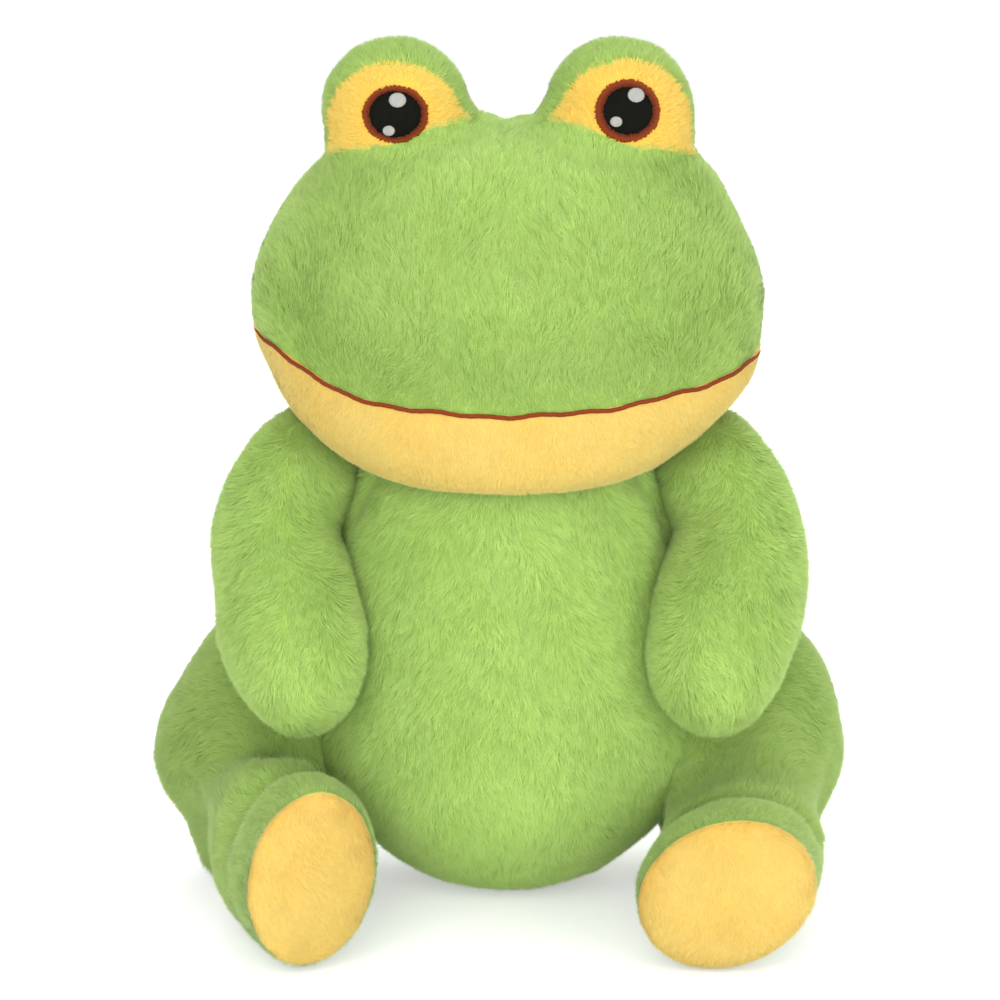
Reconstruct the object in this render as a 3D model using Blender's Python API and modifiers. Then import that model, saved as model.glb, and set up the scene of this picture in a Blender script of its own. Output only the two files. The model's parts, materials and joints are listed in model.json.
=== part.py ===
"""Seated plush frog: sewn skin panels over stuffing, embroidered eyes and mouth.

Metres, +Z up. The frog faces -Y and its own left is +X. The origin is the
middle of the flat underside of its seat.
"""

import math

import bmesh
import bpy
from mathutils import Matrix, Vector
from mathutils.bvhtree import BVHTree

# Driving dimensions of the skin and its seams
fabric_thickness = 0.0035
seam_gap = 0.0003
merge_share = 1.0 / 30.0
thread_thickness = 0.0010
cut_overrun = 1.00
cage_rounding = 1

# Torso
torso_width = 0.136
torso_depth = 0.122
torso_height = 0.189
torso_settle = 0.0005
torso_ring_points = 10
torso_profile_shares = [
    # height, half width, half depth, shift towards the back
    (0.000, 0.34, 0.36, 0.02),
    (0.040, 0.57, 0.60, -0.01),
    (0.135, 0.82, 0.85, -0.06),
    (0.290, 1.01, 1.03, -0.09),
    (0.490, 1.01, 1.01, -0.07),
    (0.690, 0.87, 0.88, -0.01),
    (0.835, 0.75, 0.76, 0.02),
    (0.950, 0.49, 0.51, 0.02),
]
chest_seam_lean = 11.0
chest_seam_forward = 0.010

# Neck, a ball shaped top of the torso that the head sits on
neck_ball_radius = 0.0525
neck_pivot_height = 0.139
neck_plug_radius = 0.024
neck_plug_depth = 0.030
neck_top_rows = 4

# Head
head_width = 0.180
head_depth = 0.128
head_height = 0.126
head_base_height = 0.1465
head_ring_points = 10
head_profile_shares = [
    # height, half width, half depth, shift towards the back
    (0.010, 0.42, 0.44, -0.42),
    (0.080, 0.66, 0.70, -0.28),
    (0.240, 0.92, 0.95, -0.11),
    (0.430, 1.00, 1.02, -0.04),
    (0.620, 0.97, 0.97, -0.01),
    (0.800, 0.82, 0.86, 0.02),
    (0.940, 0.63, 0.64, 0.05),
]
head_end_shift_shares = (-0.20, 0.08)
mouth_rise = 0.0490
mouth_slope = 12.5
mouth_piping_radius = 0.0010
mouth_piping_rounding = 1
mouth_stand_off_gaps = 3.0
mouth_piping_points = 25
mouth_piping_sweep = 80.0
head_side_seam_back = 0.004

# Eyes
eye_mound_radius = 0.0252
eye_half_spacing = 0.0378
eye_rise_above_head = -0.0008
eye_set_forward = 0.0030
eye_patch_reach = 62.0
eye_patch_droop = 13.0
eye_look_up = 5.5
eye_look_out = {"left": 8.5, "right": -1.0}
iris_radius = 0.0117
pupil_radius = 0.0090
large_highlight_radius = 0.0031
small_highlight_radius = 0.0022
highlight_place_shares = {
    # right and up in the pupil, the large one and then the small one
    "left": ((0.31, 0.54), (-0.50, -0.39)),
    "right": ((0.08, 0.47), (-0.23, -0.69)),
}
highlight_thickness = 0.0007
eye_mound_segments = 18
eye_mound_rings = 10
iris_rows = 1
pupil_rows = 2
highlight_rows = 1
turned_steps = 20
turned_start_share = 1.0 / 3.0
highlight_steps = 12

# Arms
arm_reach = 0.0838
arm_drop = 0.0815
arm_forward = 0.070
arm_radius = 0.0275
arm_ring_points = 8
shoulder_out = 0.049
shoulder_height = 0.149
shoulder_back = 0.001
arm_lean_start_share = 0.30
arm_seam_share = 0.72
arm_tip_shares = (0.34, 1.02, 0.98)
arm_path_shares = [
    # out, forward, down, ring tilt from upright, radius
    (0.10, 0.00, 0.00, 0.0, 0.74),
    (0.58, 0.04, -0.02, 26.0, 0.96),
    (0.86, 0.28, 0.25, 74.0, 1.00),
    (0.78, 0.58, 0.52, 102.0, 1.00),
    (0.50, 0.86, 0.77, 114.0, 0.86),
    (0.38, 0.97, 0.91, 118.0, 0.48),
]

# Legs
hip_out = 0.046
hip_height = 0.047
hip_back = 0.009
thigh_radius = 0.050
leg_ring_points = 8
foot_long_radius = 0.0318
foot_short_radius = 0.0265
knee_out = {"left": 0.0880, "right": 0.0960}
foot_out = {"left": 0.0720, "right": 0.0645}
leg_reach = {"left": 0.123, "right": 0.121}
toe_in_degrees = {"left": 3.0, "right": 32.0}
foot_roll_degrees = {"left": 24.0, "right": 84.0}
thigh_path_shares = [
    # out, forward in thigh radii, height, ring yaw, radius across, radius up
    (0.155, 0.000, 1.00, 0.0, 0.58, 0.60),
    (0.390, -0.037, 1.02, 10.0, 0.90, 1.00),
    (0.900, 0.148, 1.05, 40.0, 0.92, 1.08),
    (1.000, 0.713, 0.84, 75.0, 0.74, 0.86),
]
foot_path_shares = [
    # sideways from knee to foot, forward from knee to foot, toe in, radius
    (0.35, 0.282, 0.40, 0.96),
    (0.80, 0.592, 0.85, 1.00),
    (1.00, 0.845, 1.00, 1.03),
    (1.03, 0.965, 1.00, 0.92),
]
sole_inset_share = 0.255
leg_seam_share = 0.96

# How far each joint moves, in degrees from the pose as modelled
neck_turn_range = (-15.0, 15.0)
head_nod_range = (-7.0, 5.0)
arm_lift_range = (0.0, 20.0)
leg_lift_range = (0.0, 7.0)
sweep_steps = 4

# Blocks that hold all that a neighbour of an arm sweeps
room_torso_share = 0.60
room_inner_share = 0.28
room_ahead_share = 1.50
room_cell = 0.010
room_feeler_shares = (-0.25, 0.0, 0.25)
room_depth = 0.300
room_margin = 0.0003
leg_room_margin = 0.0024

# Colours, as red, green and blue
green = (0.33, 0.56, 0.13)
yellow = (0.95, 0.66, 0.16)
rust = (0.38, 0.05, 0.01)
black = (0.01, 0.01, 0.01)
grey = (0.66, 0.66, 0.66)
white = (0.85, 0.84, 0.80)

SIDES = {"left": 1.0, "right": -1.0}


def clear_scene():
    """Remove every object, so that the frog stands alone."""
    for old in list(bpy.data.objects):
        bpy.data.objects.remove(old, do_unlink=True)


def new_collection(name):
    group = bpy.data.collections.new(name)
    bpy.context.scene.collection.children.link(group)
    return group


def make_material(name, colour, roughness):
    material = bpy.data.materials.new(name)
    material.use_nodes = True
    shader = material.node_tree.nodes["Principled BSDF"]
    shader.inputs["Base Color"].default_value = (*colour, 1.0)
    shader.inputs["Roughness"].default_value = roughness
    shader.inputs["Metallic"].default_value = 0.0
    return material


clear_scene()
PARTS = new_collection("plush_frog")
CUTTERS = new_collection("cutters")
PLUSH_GREEN = make_material("plush_green", green, 0.95)
PLUSH_YELLOW = make_material("plush_yellow", yellow, 0.95)
THREAD_RUST = make_material("thread_rust", rust, 0.60)
THREAD_BLACK = make_material("thread_black", black, 0.50)
THREAD_GREY = make_material("thread_grey", grey, 0.50)
FIBRE_FILL = make_material("fibre_fill", white, 1.00)


def add_object(name, mesh, group, material=None):
    thing = bpy.data.objects.new(name, mesh)
    group.objects.link(thing)
    if material is not None:
        mesh.materials.clear()
        mesh.materials.append(material)
    return thing


def make_cutter(thing):
    thing.hide_render = True
    thing.display_type = "WIRE"
    return thing


def evaluated_mesh(thing, name):
    bpy.context.view_layer.update()
    depsgraph = bpy.context.evaluated_depsgraph_get()
    mesh = bpy.data.meshes.new_from_object(thing.evaluated_get(depsgraph))
    mesh.name = name
    return mesh


def cut_with(thing, cutters):
    """Take each cutter away from the object, in turn."""
    for cutter in cutters:
        cut = thing.modifiers.new(cutter.name, "BOOLEAN")
        cut.operation = "DIFFERENCE"
        cut.solver = "EXACT"
        cut.object = cutter
    return thing


def cage_gain(points):
    """How much wider a ring of a cage is than the surface that it makes."""
    return 4.0 / (3.0 + math.cos(math.tau / points))


def ring(centre, across, up, half_across, half_up, points, roll=0.0):
    """One closed ring of a cage, an ellipse with its axes along across and up."""
    gain = cage_gain(points)
    tilt = math.radians(roll)
    places = []
    for step in range(points):
        angle = math.tau * step / points
        a = half_across * gain * math.cos(angle)
        u = half_up * gain * math.sin(angle)
        along = a * math.cos(tilt) - u * math.sin(tilt)
        rise = a * math.sin(tilt) + u * math.cos(tilt)
        places.append(centre + across * along + up * rise)
    return places


def cage_mesh(name, rings, start, end):
    """A closed cage: a fan at each end and quads between the rings."""
    cage = bmesh.new()
    rows = [[cage.verts.new(place) for place in row] for row in rings]
    first = cage.verts.new(start)
    last = cage.verts.new(end)
    points = len(rows[0])
    for step in range(points):
        ahead = (step + 1) % points
        cage.faces.new((first, rows[0][ahead], rows[0][step]))
        cage.faces.new((last, rows[-1][step], rows[-1][ahead]))
        for low, high in zip(rows, rows[1:]):
            cage.faces.new((low[step], low[ahead], high[ahead], high[step]))
    bmesh.ops.recalc_face_normals(cage, faces=cage.faces)
    mesh = bpy.data.meshes.new(name)
    cage.to_mesh(mesh)
    cage.free()
    return mesh


def settle_on_floor(mesh):
    """Press everything that is under the floor flat onto it."""
    for vertex in mesh.vertices:
        vertex.co.z = max(vertex.co.z, 0.0)
    mesh.update()


def split_quads(mesh):
    """Three cornered faces, so that surfaces offset from this one never cross it."""
    surface = bmesh.new()
    surface.from_mesh(mesh)
    bmesh.ops.triangulate(surface, faces=surface.faces)
    surface.to_mesh(mesh)
    surface.free()


def offset_mesh(mesh, distance, name):
    """The same surface moved along its own normals."""
    copy = mesh.copy()
    copy.name = name
    surface = bmesh.new()
    surface.from_mesh(copy)
    surface.normal_update()
    moves = [vertex.normal * distance for vertex in surface.verts]
    for vertex, move in zip(surface.verts, moves):
        vertex.co += move
    surface.to_mesh(copy)
    surface.free()
    return copy


class SoftForm:
    """A stuffed form: its outer surface, the inside of its skin and its stuffing."""

    def __init__(self, name, rings, start, end, settle):
        cage = add_object(name + "_cage", cage_mesh(name + "_cage", rings, start, end), CUTTERS)
        make_cutter(cage)
        smooth = cage.modifiers.new("round", "SUBSURF")
        smooth.levels = cage_rounding
        smooth.render_levels = cage_rounding
        self.name = name
        self.outer = evaluated_mesh(cage, name + "_outer")
        if settle:
            settle_on_floor(self.outer)
        split_quads(self.outer)
        self.outer.shade_smooth()
        hollow = offset_mesh(self.outer, -fabric_thickness, name + "_hollow")
        self.hollow = make_cutter(add_object(name + "_hollow", hollow, CUTTERS))
        self.fill_mesh = offset_mesh(
            self.outer, -(fabric_thickness + seam_gap), name + "_fill"
        )
        clearance = offset_mesh(self.outer, seam_gap, name + "_clearance")
        self.clearance = make_cutter(add_object(name + "_clearance", clearance, CUTTERS))

    def panel(self, node, material, cutters):
        """A panel of the skin: what the cutters leave of the whole skin."""
        thing = add_object(node, self.outer.copy(), PARTS, material)
        return cut_with(thing, [self.hollow] + cutters)

    def stuffing(self, node, cutters):
        thing = add_object(node, self.fill_mesh, PARTS, FIBRE_FILL)
        return cut_with(thing, cutters)

    def surface_tree(self):
        polygons = [tuple(face.vertices) for face in self.outer.polygons]
        places = [vertex.co.copy() for vertex in self.outer.vertices]
        return BVHTree.FromPolygons(places, polygons)


def half_space(name, point, normal):
    """A big box that takes away all that lies beyond a plane."""
    block = bmesh.new()
    bmesh.ops.create_cube(block, size=cut_overrun)
    bmesh.ops.translate(block, verts=block.verts, vec=(0.0, 0.0, cut_overrun / 2.0))
    mesh = bpy.data.meshes.new(name)
    block.to_mesh(mesh)
    block.free()
    thing = make_cutter(add_object(name, mesh, CUTTERS))
    turn = Vector(normal).to_track_quat("Z", "Y").to_matrix().to_4x4()
    thing.matrix_world = Matrix.Translation(point) @ turn
    return thing


def seam_pair(name, point, normal):
    """The two cutters of a seam, half a gap to each side of its plane."""
    normal = Vector(normal).normalized()
    point = Vector(point)
    half = normal * seam_gap / 2.0
    beyond = half_space(name + "_beyond", point - half, normal)
    before = half_space(name + "_before", point + half, -normal)
    return beyond, before


def turned_object(
    name, profile, centre, axis, group, closed=False, material=None, steps=turned_steps
):
    """A profile of (radius, height) points turned about an axis through centre."""
    outline = bmesh.new()
    row = [outline.verts.new((radius, 0.0, height)) for radius, height in profile]
    for near, far in zip(row, row[1:]):
        outline.edges.new((near, far))
    if closed:
        outline.edges.new((row[-1], row[0]))
    mesh = bpy.data.meshes.new(name)
    outline.to_mesh(mesh)
    outline.free()
    thing = add_object(name, mesh, group, material)
    turn = thing.modifiers.new("turn", "SCREW")
    turn.axis = "Z"
    turn.steps = steps
    turn.render_steps = steps
    turn.use_merge_vertices = True
    turn.merge_threshold = seam_gap * merge_share
    rotation = Vector(axis).to_track_quat("Z", "Y").to_matrix().to_4x4()
    spin = Matrix.Rotation(turned_start_share * math.tau / turned_steps, 4, "Z")
    thing.matrix_world = Matrix.Translation(centre) @ rotation @ spin
    return thing


def turn_about(pivot, axis, degrees):
    """The movement of a hinge through a pivot."""
    rotation = Matrix.Rotation(math.radians(degrees), 4, Vector(axis))
    return Matrix.Translation(pivot) @ rotation @ Matrix.Translation(-pivot)


def sweep(limits):
    """Angles through a joint's range, both ends included."""
    low, high = limits
    return [low + (high - low) * step / sweep_steps for step in range(sweep_steps + 1)]


def head_movement(turn, nod):
    pivot = Vector((0.0, 0.0, neck_pivot_height))
    turned = turn_about(pivot, (0.0, 0.0, 1.0), turn)
    return turned @ turn_about(pivot, (-1.0, 0.0, 0.0), nod)


def lifted(pivot, degrees):
    """The movement of an arm or a leg that lifts forwards from its root."""
    return turn_about(pivot, (-1.0, 0.0, 0.0), degrees)


def arm_past_head(shoulder):
    """How an arm stands to the head, in each pose that the two of them take."""
    poses = [head_movement(turn, 0.0).inverted() for turn in sweep(neck_turn_range)]
    poses += [head_movement(0.0, nod).inverted() for nod in sweep(head_nod_range)]
    poses += [lifted(shoulder, angle) for angle in sweep(arm_lift_range)]
    for end in (0, 1):
        head = head_movement(neck_turn_range[end], head_nod_range[end])
        poses.append(head.inverted() @ lifted(shoulder, arm_lift_range[end]))
    return poses


def arm_past_leg(shoulder, hip):
    """How an arm stands to the leg under it, in each pose that the two take."""
    poses = [lifted(hip, angle).inverted() for angle in sweep(leg_lift_range)]
    return poses + [poses[-1] @ lifted(shoulder, arm_lift_range[1])]


def nearest_depth(tree, poses, places, heading, margin):
    """The shortest way along the heading to a neighbour, in any of the poses."""
    depth = room_depth
    for pose in poses:
        along = pose.to_3x3() @ heading
        for place in places:
            distance = tree.ray_cast(pose @ place, along)[3]
            if distance is not None:
                depth = min(depth, distance - margin)
    return depth


def swept_room(name, tree, poses, corner, first, second, heading, margin=room_margin):
    """A block that holds all that a neighbour of a limb sweeps.

    It is felt out from the limb's side: from each place of a grid, how far the
    neighbour is at its nearest along the heading, in any of the poses.
    """
    corner, first, second, heading = (Vector(v) for v in (corner, first, second, heading))
    columns = round(first.length / room_cell)
    cells = round(second.length / room_cell)
    feelers = [
        first * wide / columns + second * high / cells
        for wide in room_feeler_shares for high in room_feeler_shares
    ]
    block = bmesh.new()
    rows = []
    for column in range(columns + 1):
        row = []
        for cell in range(cells + 1):
            place = corner + first * column / columns + second * cell / cells
            places = [place + feeler for feeler in feelers]
            depth = nearest_depth(tree, poses, places, heading, margin)
            row.append(block.verts.new(place + heading * depth))
        rows.append(row)
    for near, far in zip(rows, rows[1:]):
        for cell in range(cells):
            block.faces.new((near[cell], near[cell + 1], far[cell + 1]))
            block.faces.new((near[cell], far[cell + 1], far[cell]))
    rim = [edge for edge in block.edges if edge.is_boundary]
    grown = bmesh.ops.extrude_edge_only(block, edges=rim)["geom"]
    for vertex in [part for part in grown if isinstance(part, bmesh.types.BMVert)]:
        vertex.co += heading * (cut_overrun - (vertex.co - corner).dot(heading))
    lid = [edge for edge in block.edges if edge.is_boundary]
    bmesh.ops.contextual_create(block, geom=lid)
    bmesh.ops.recalc_face_normals(block, faces=block.faces)
    mesh = bpy.data.meshes.new(name)
    block.to_mesh(mesh)
    block.free()
    return make_cutter(add_object(name, mesh, CUTTERS))


def torso_room(name, tree, pivot, limits, side):
    """The room for the torso beside a limb, whichever way the limb is lifted."""
    reach = room_torso_share * torso_depth
    start = (side * room_depth, -reach, 0.0)
    poses = [lifted(pivot, angle) for angle in sweep(limits)]
    run = (0.0, 2.0 * reach, 0.0)
    rise = (0.0, 0.0, torso_height)
    return swept_room(name, tree, poses, start, run, rise, (-side, 0.0, 0.0))


def add_pivot(name, place):
    """An empty on a joint's axis, which carries the pieces that move."""
    pivot = bpy.data.objects.new(name, None)
    pivot.location = place
    PARTS.objects.link(pivot)
    bpy.context.view_layer.update()
    return pivot


def carry(pivot, things):
    """Parent pieces to a pivot and leave them where they are."""
    for thing in things:
        place = thing.matrix_world.copy()
        thing.parent = pivot
        thing.matrix_parent_inverse = pivot.matrix_world.inverted()
        thing.matrix_world = place


def rings_by_height(shares, width, depth, base, height, points):
    """Level rings up a form, from shares of its own sizes."""
    rows = []
    for high, wide, deep, shift in shares:
        centre = Vector((0.0, shift * depth / 2.0, base + high * height))
        across = Vector((1.0, 0.0, 0.0))
        back = Vector((0.0, 1.0, 0.0))
        rows.append(
            ring(centre, across, back, wide * width / 2.0, deep * depth / 2.0, points)
        )
    return rows


def make_torso():
    """Front panel, two back panels with a seam down the middle, and the stuffing."""
    rings = rings_by_height(
        torso_profile_shares, torso_width, torso_depth, -torso_settle, torso_height,
        torso_ring_points,
    )
    form = SoftForm(
        "torso", rings, Vector((0.0, 0.0, -torso_settle)),
        Vector((0.0, 0.0, torso_height)), True,
    )
    lean = math.radians(chest_seam_lean)
    front, behind = seam_pair(
        "side_seam", (0.0, -chest_seam_forward, torso_height / 2.0),
        (0.0, -math.cos(lean), -math.sin(lean)),
    )
    left, right = seam_pair("back_seam", (0.0, 0.0, 0.0), (1.0, 0.0, 0.0))
    bore = neck_bore()
    form.panel("torso_front_panel", PLUSH_GREEN, [bore, behind])
    form.panel("torso_back_panel_right", PLUSH_GREEN, [bore, front, left])
    form.panel("torso_back_panel_left", PLUSH_GREEN, [bore, front, right])
    form.stuffing("torso_stuffing", [bore])
    return form


def neck_bore():
    """The neck opening through the torso's skin and into its stuffing."""
    reach = neck_plug_radius + seam_gap
    floor = neck_pivot_height + neck_ball_radius - neck_plug_depth - seam_gap
    profile = [(0.0, cut_overrun), (reach, cut_overrun), (reach, floor), (0.0, floor)]
    bore = turned_object("neck_bore", profile, Vector(), (0.0, 0.0, 1.0), CUTTERS)
    return make_cutter(bore)


def make_neck():
    """The plug of stuffing in the neck opening, round topped like the neck ball."""
    centre = Vector((0.0, 0.0, neck_pivot_height))
    top = math.asin(neck_plug_radius / neck_ball_radius)
    arc = [top * step / neck_top_rows for step in range(neck_top_rows + 1)]
    profile = [(neck_ball_radius * math.sin(a), neck_ball_radius * math.cos(a)) for a in arc]
    floor = neck_ball_radius - neck_plug_depth
    profile += [(neck_plug_radius, floor), (0.0, floor)]
    plug = turned_object(
        "neck_stuffing", profile, centre, (0.0, 0.0, 1.0), PARTS, material=FIBRE_FILL
    )
    pivot = add_pivot("neck_pivot", centre)
    carry(pivot, [plug])
    return pivot


def neck_socket():
    """The ball that the head keeps clear of, whichever way it turns or nods."""
    ball = bmesh.new()
    flats = math.cos(math.pi / eye_mound_segments) * math.cos(math.pi / eye_mound_rings / 2.0)
    reach = (neck_ball_radius + seam_gap) / flats
    bmesh.ops.create_uvsphere(
        ball, u_segments=eye_mound_segments, v_segments=eye_mound_rings, radius=reach
    )
    mesh = bpy.data.meshes.new("neck_socket")
    ball.to_mesh(mesh)
    ball.free()
    thing = make_cutter(add_object("neck_socket", mesh, CUTTERS))
    thing.location = (0.0, 0.0, neck_pivot_height)
    return thing


def make_head():
    """Green front and back panels, the yellow jaw, the mouth line and the stuffing."""
    rings = rings_by_height(
        head_profile_shares, head_width, head_depth, head_base_height, head_height,
        head_ring_points,
    )
    low_shift, high_shift = head_end_shift_shares
    bottom = Vector((0.0, low_shift * head_depth / 2.0, head_base_height))
    top = Vector((0.0, high_shift * head_depth / 2.0, head_base_height + head_height))
    form = SoftForm("head", rings, bottom, top, False)
    slope = math.radians(mouth_slope)
    mouth_point = Vector((0.0, 0.0, head_base_height + mouth_rise))
    mouth_normal = Vector((0.0, -math.sin(slope), math.cos(slope)))
    above, below = seam_pair("mouth_seam", mouth_point, mouth_normal)
    front, behind = seam_pair(
        "head_side_seam", (0.0, head_side_seam_back, 0.0), (0.0, -1.0, 0.0)
    )
    left, right = seam_pair("head_back_seam", (0.0, 0.0, 0.0), (1.0, 0.0, 0.0))
    socket = neck_socket()
    pieces = [
        form.panel("head_front_panel", PLUSH_GREEN, [behind, below, socket]),
        form.panel("jaw_panel", PLUSH_YELLOW, [behind, above, socket]),
        form.panel("head_back_panel_right", PLUSH_GREEN, [front, left, socket]),
        form.panel("head_back_panel_left", PLUSH_GREEN, [front, right, socket]),
        form.stuffing("head_stuffing", [socket]),
        make_mouth(form, mouth_point, mouth_normal),
    ]
    return form, pieces


def make_mouth(form, point, normal):
    """The satin stitched mouth line, a bead that follows the seam round the face."""
    tree = form.surface_tree()
    across = Vector((1.0, 0.0, 0.0))
    ahead = normal.cross(across)
    if ahead.y > 0.0:
        ahead = -ahead
    stand_off = mouth_piping_radius + mouth_stand_off_gaps * seam_gap
    places = []
    for step in range(mouth_piping_points):
        share = 2.0 * step / (mouth_piping_points - 1.0) - 1.0
        angle = math.radians(mouth_piping_sweep) * share
        direction = across * math.sin(angle) + ahead * math.cos(angle)
        hit, outward = tree.ray_cast(point, direction)[:2]
        outward = outward if outward.dot(direction) > 0.0 else -outward
        flat = (outward - normal * outward.dot(normal)).normalized()
        places.append(hit + flat * stand_off)
    curve = bpy.data.curves.new("mouth_line", "CURVE")
    curve.dimensions = "3D"
    curve.bevel_depth = mouth_piping_radius
    curve.bevel_resolution = mouth_piping_rounding
    curve.use_fill_caps = True
    spline = curve.splines.new("POLY")
    spline.points.add(len(places) - 1)
    for knot, place in zip(spline.points, places):
        knot.co = (*place, 1.0)
    curve.materials.append(THREAD_RUST)
    line = bpy.data.objects.new("mouth_line", curve)
    PARTS.objects.link(line)
    return line


def eye_ball(name, radius, centre, group, material=None):
    ball = bmesh.new()
    bmesh.ops.create_uvsphere(
        ball, u_segments=eye_mound_segments, v_segments=eye_mound_rings, radius=radius
    )
    mesh = bpy.data.meshes.new(name)
    ball.to_mesh(mesh)
    ball.free()
    mesh.shade_smooth()
    thing = add_object(name, mesh, group, material)
    thing.location = centre
    return thing


def cap_profile(inner, outer, start, stop, steps):
    """The section of a dished disc or ring that lies on a ball."""
    angles = [start + (stop - start) * step / steps for step in range(steps + 1)]
    upper = [(outer * math.sin(a), outer * math.cos(a)) for a in angles]
    lower = [(inner * math.sin(a), inner * math.cos(a)) for a in reversed(angles)]
    return upper + lower


def gaze_direction(side_name, extra_out, extra_up):
    """A direction out of the eye, from its outward and upward angles in degrees."""
    side = SIDES[side_name]
    out = math.radians(eye_look_out[side_name]) + extra_out
    up = math.radians(eye_look_up) + extra_up
    return Vector(
        (side * math.sin(out) * math.cos(up), -math.cos(out) * math.cos(up), math.sin(up))
    )


def make_eye(side_name, head):
    """A stuffed mound with a green hood and a yellow patch, and the stitched eye."""
    side = SIDES[side_name]
    top = head_base_height + head_height
    centre = Vector((side * eye_half_spacing, -eye_set_forward, top + eye_rise_above_head))
    hollow = make_cutter(
        eye_ball("eye_hollow_" + side_name, eye_mound_radius - fabric_thickness, centre, CUTTERS)
    )
    droop = math.radians(eye_patch_droop)
    facing = Vector((0.0, -math.cos(droop), -math.sin(droop)))
    edge = centre + facing * eye_mound_radius * math.cos(math.radians(eye_patch_reach))
    inside, outside = seam_pair("eye_patch_seam_" + side_name, edge, facing)
    hood = eye_ball("eye_hood_" + side_name, eye_mound_radius, centre, PARTS, PLUSH_GREEN)
    cut_with(hood, [hollow, inside, head.clearance])
    patch = eye_ball("eye_patch_" + side_name, eye_mound_radius, centre, PARTS, PLUSH_YELLOW)
    cut_with(patch, [hollow, outside, head.clearance])
    fill_radius = eye_mound_radius - fabric_thickness - seam_gap
    fill = eye_ball("eye_stuffing_" + side_name, fill_radius, centre, PARTS, FIBRE_FILL)
    cut_with(fill, [head.clearance])

    under = eye_mound_radius + seam_gap
    over = under + thread_thickness
    gaze = gaze_direction(side_name, 0.0, 0.0)
    pupil_edge = math.asin(pupil_radius / eye_mound_radius)
    iris_start = math.asin((pupil_radius + seam_gap) / eye_mound_radius)
    iris_stop = math.asin(iris_radius / eye_mound_radius)
    iris = turned_object(
        "iris_ring_" + side_name, cap_profile(under, over, iris_start, iris_stop, iris_rows),
        centre, gaze, PARTS, closed=True, material=THREAD_RUST,
    )
    pupil = turned_object(
        "pupil_" + side_name, cap_profile(under, over, 0.0, pupil_edge, pupil_rows),
        centre, gaze, PARTS, material=THREAD_BLACK,
    )
    pieces = [hood, patch, fill, iris, pupil]
    low = over + seam_gap
    high = low + highlight_thickness
    spots = [
        ("highlight_large_", large_highlight_radius),
        ("highlight_small_", small_highlight_radius),
    ]
    places = highlight_place_shares[side_name]
    for (name, radius), (right_share, up_share) in zip(spots, places):
        out = side * right_share * pupil_edge
        look = gaze_direction(side_name, out, up_share * pupil_edge)
        stop = math.asin(radius / eye_mound_radius)
        pieces.append(
            turned_object(
                name + side_name, cap_profile(low, high, 0.0, stop, highlight_rows),
                centre, look, PARTS, material=THREAD_GREY, steps=highlight_steps,
            )
        )
    return pieces


def make_arm(side_name, torso, head, leg):
    """Inner and outer panels over stuffing, hinged at the shoulder."""
    side = SIDES[side_name]
    shoulder = Vector((side * shoulder_out, shoulder_back, shoulder_height))
    reach = arm_reach - shoulder_out
    rings = []
    for out, ahead, down, tilt, size in arm_path_shares:
        centre = shoulder + Vector(
            (side * out * reach, -ahead * arm_forward, -down * arm_drop)
        )
        angle = math.radians(tilt)
        lean = math.atan2(arm_forward, arm_drop) * min(1.0, down + arm_lean_start_share)
        along = Vector(
            (
                side * math.cos(angle),
                -math.sin(angle) * math.sin(lean),
                -math.sin(angle) * math.cos(lean),
            )
        )
        across = Vector((0.0, math.cos(lean), -math.sin(lean)))
        up = along.cross(across).normalized()
        rings.append(
            ring(centre, across, up, size * arm_radius, size * arm_radius, arm_ring_points)
        )
    out, ahead, down = arm_tip_shares
    tip = shoulder + Vector((side * out * reach, -ahead * arm_forward, -down * arm_drop))
    form = SoftForm("arm_" + side_name, rings, shoulder, tip, False)
    middle = shoulder.x + side * arm_seam_share * reach
    outside, inside = seam_pair("arm_seam_" + side_name, (middle, 0.0, 0.0), (side, 0.0, 0.0))
    hip = Vector((side * hip_out, hip_back, hip_height))
    inner = shoulder_out - room_inner_share * arm_radius
    ahead = arm_forward + room_ahead_share * arm_radius
    out = (side * (arm_reach + arm_radius - inner), 0.0, 0.0)
    run = (0.0, ahead + room_ahead_share * arm_radius, 0.0)
    start = (side * inner, -ahead, 0.0)
    above = swept_room(
        "room_for_head_" + side_name, head.surface_tree(), arm_past_head(shoulder),
        start, out, run, (0.0, 0.0, 1.0),
    )
    start = (side * inner, -ahead, room_depth)
    below = swept_room(
        "room_for_leg_" + side_name, leg.surface_tree(), arm_past_leg(shoulder, hip),
        start, out, run, (0.0, 0.0, -1.0), leg_room_margin,
    )
    beside = torso_room(
        "room_by_arm_" + side_name, torso.surface_tree(), shoulder, arm_lift_range, side
    )
    clear = [torso.clearance, beside, above, below]
    pieces = [
        form.panel("arm_outer_panel_" + side_name, PLUSH_GREEN, [inside] + clear),
        form.panel("arm_inner_panel_" + side_name, PLUSH_GREEN, [outside] + clear),
        form.stuffing("arm_stuffing_" + side_name, clear),
    ]
    carry(add_pivot("shoulder_pivot_" + side_name, shoulder), pieces)


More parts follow.
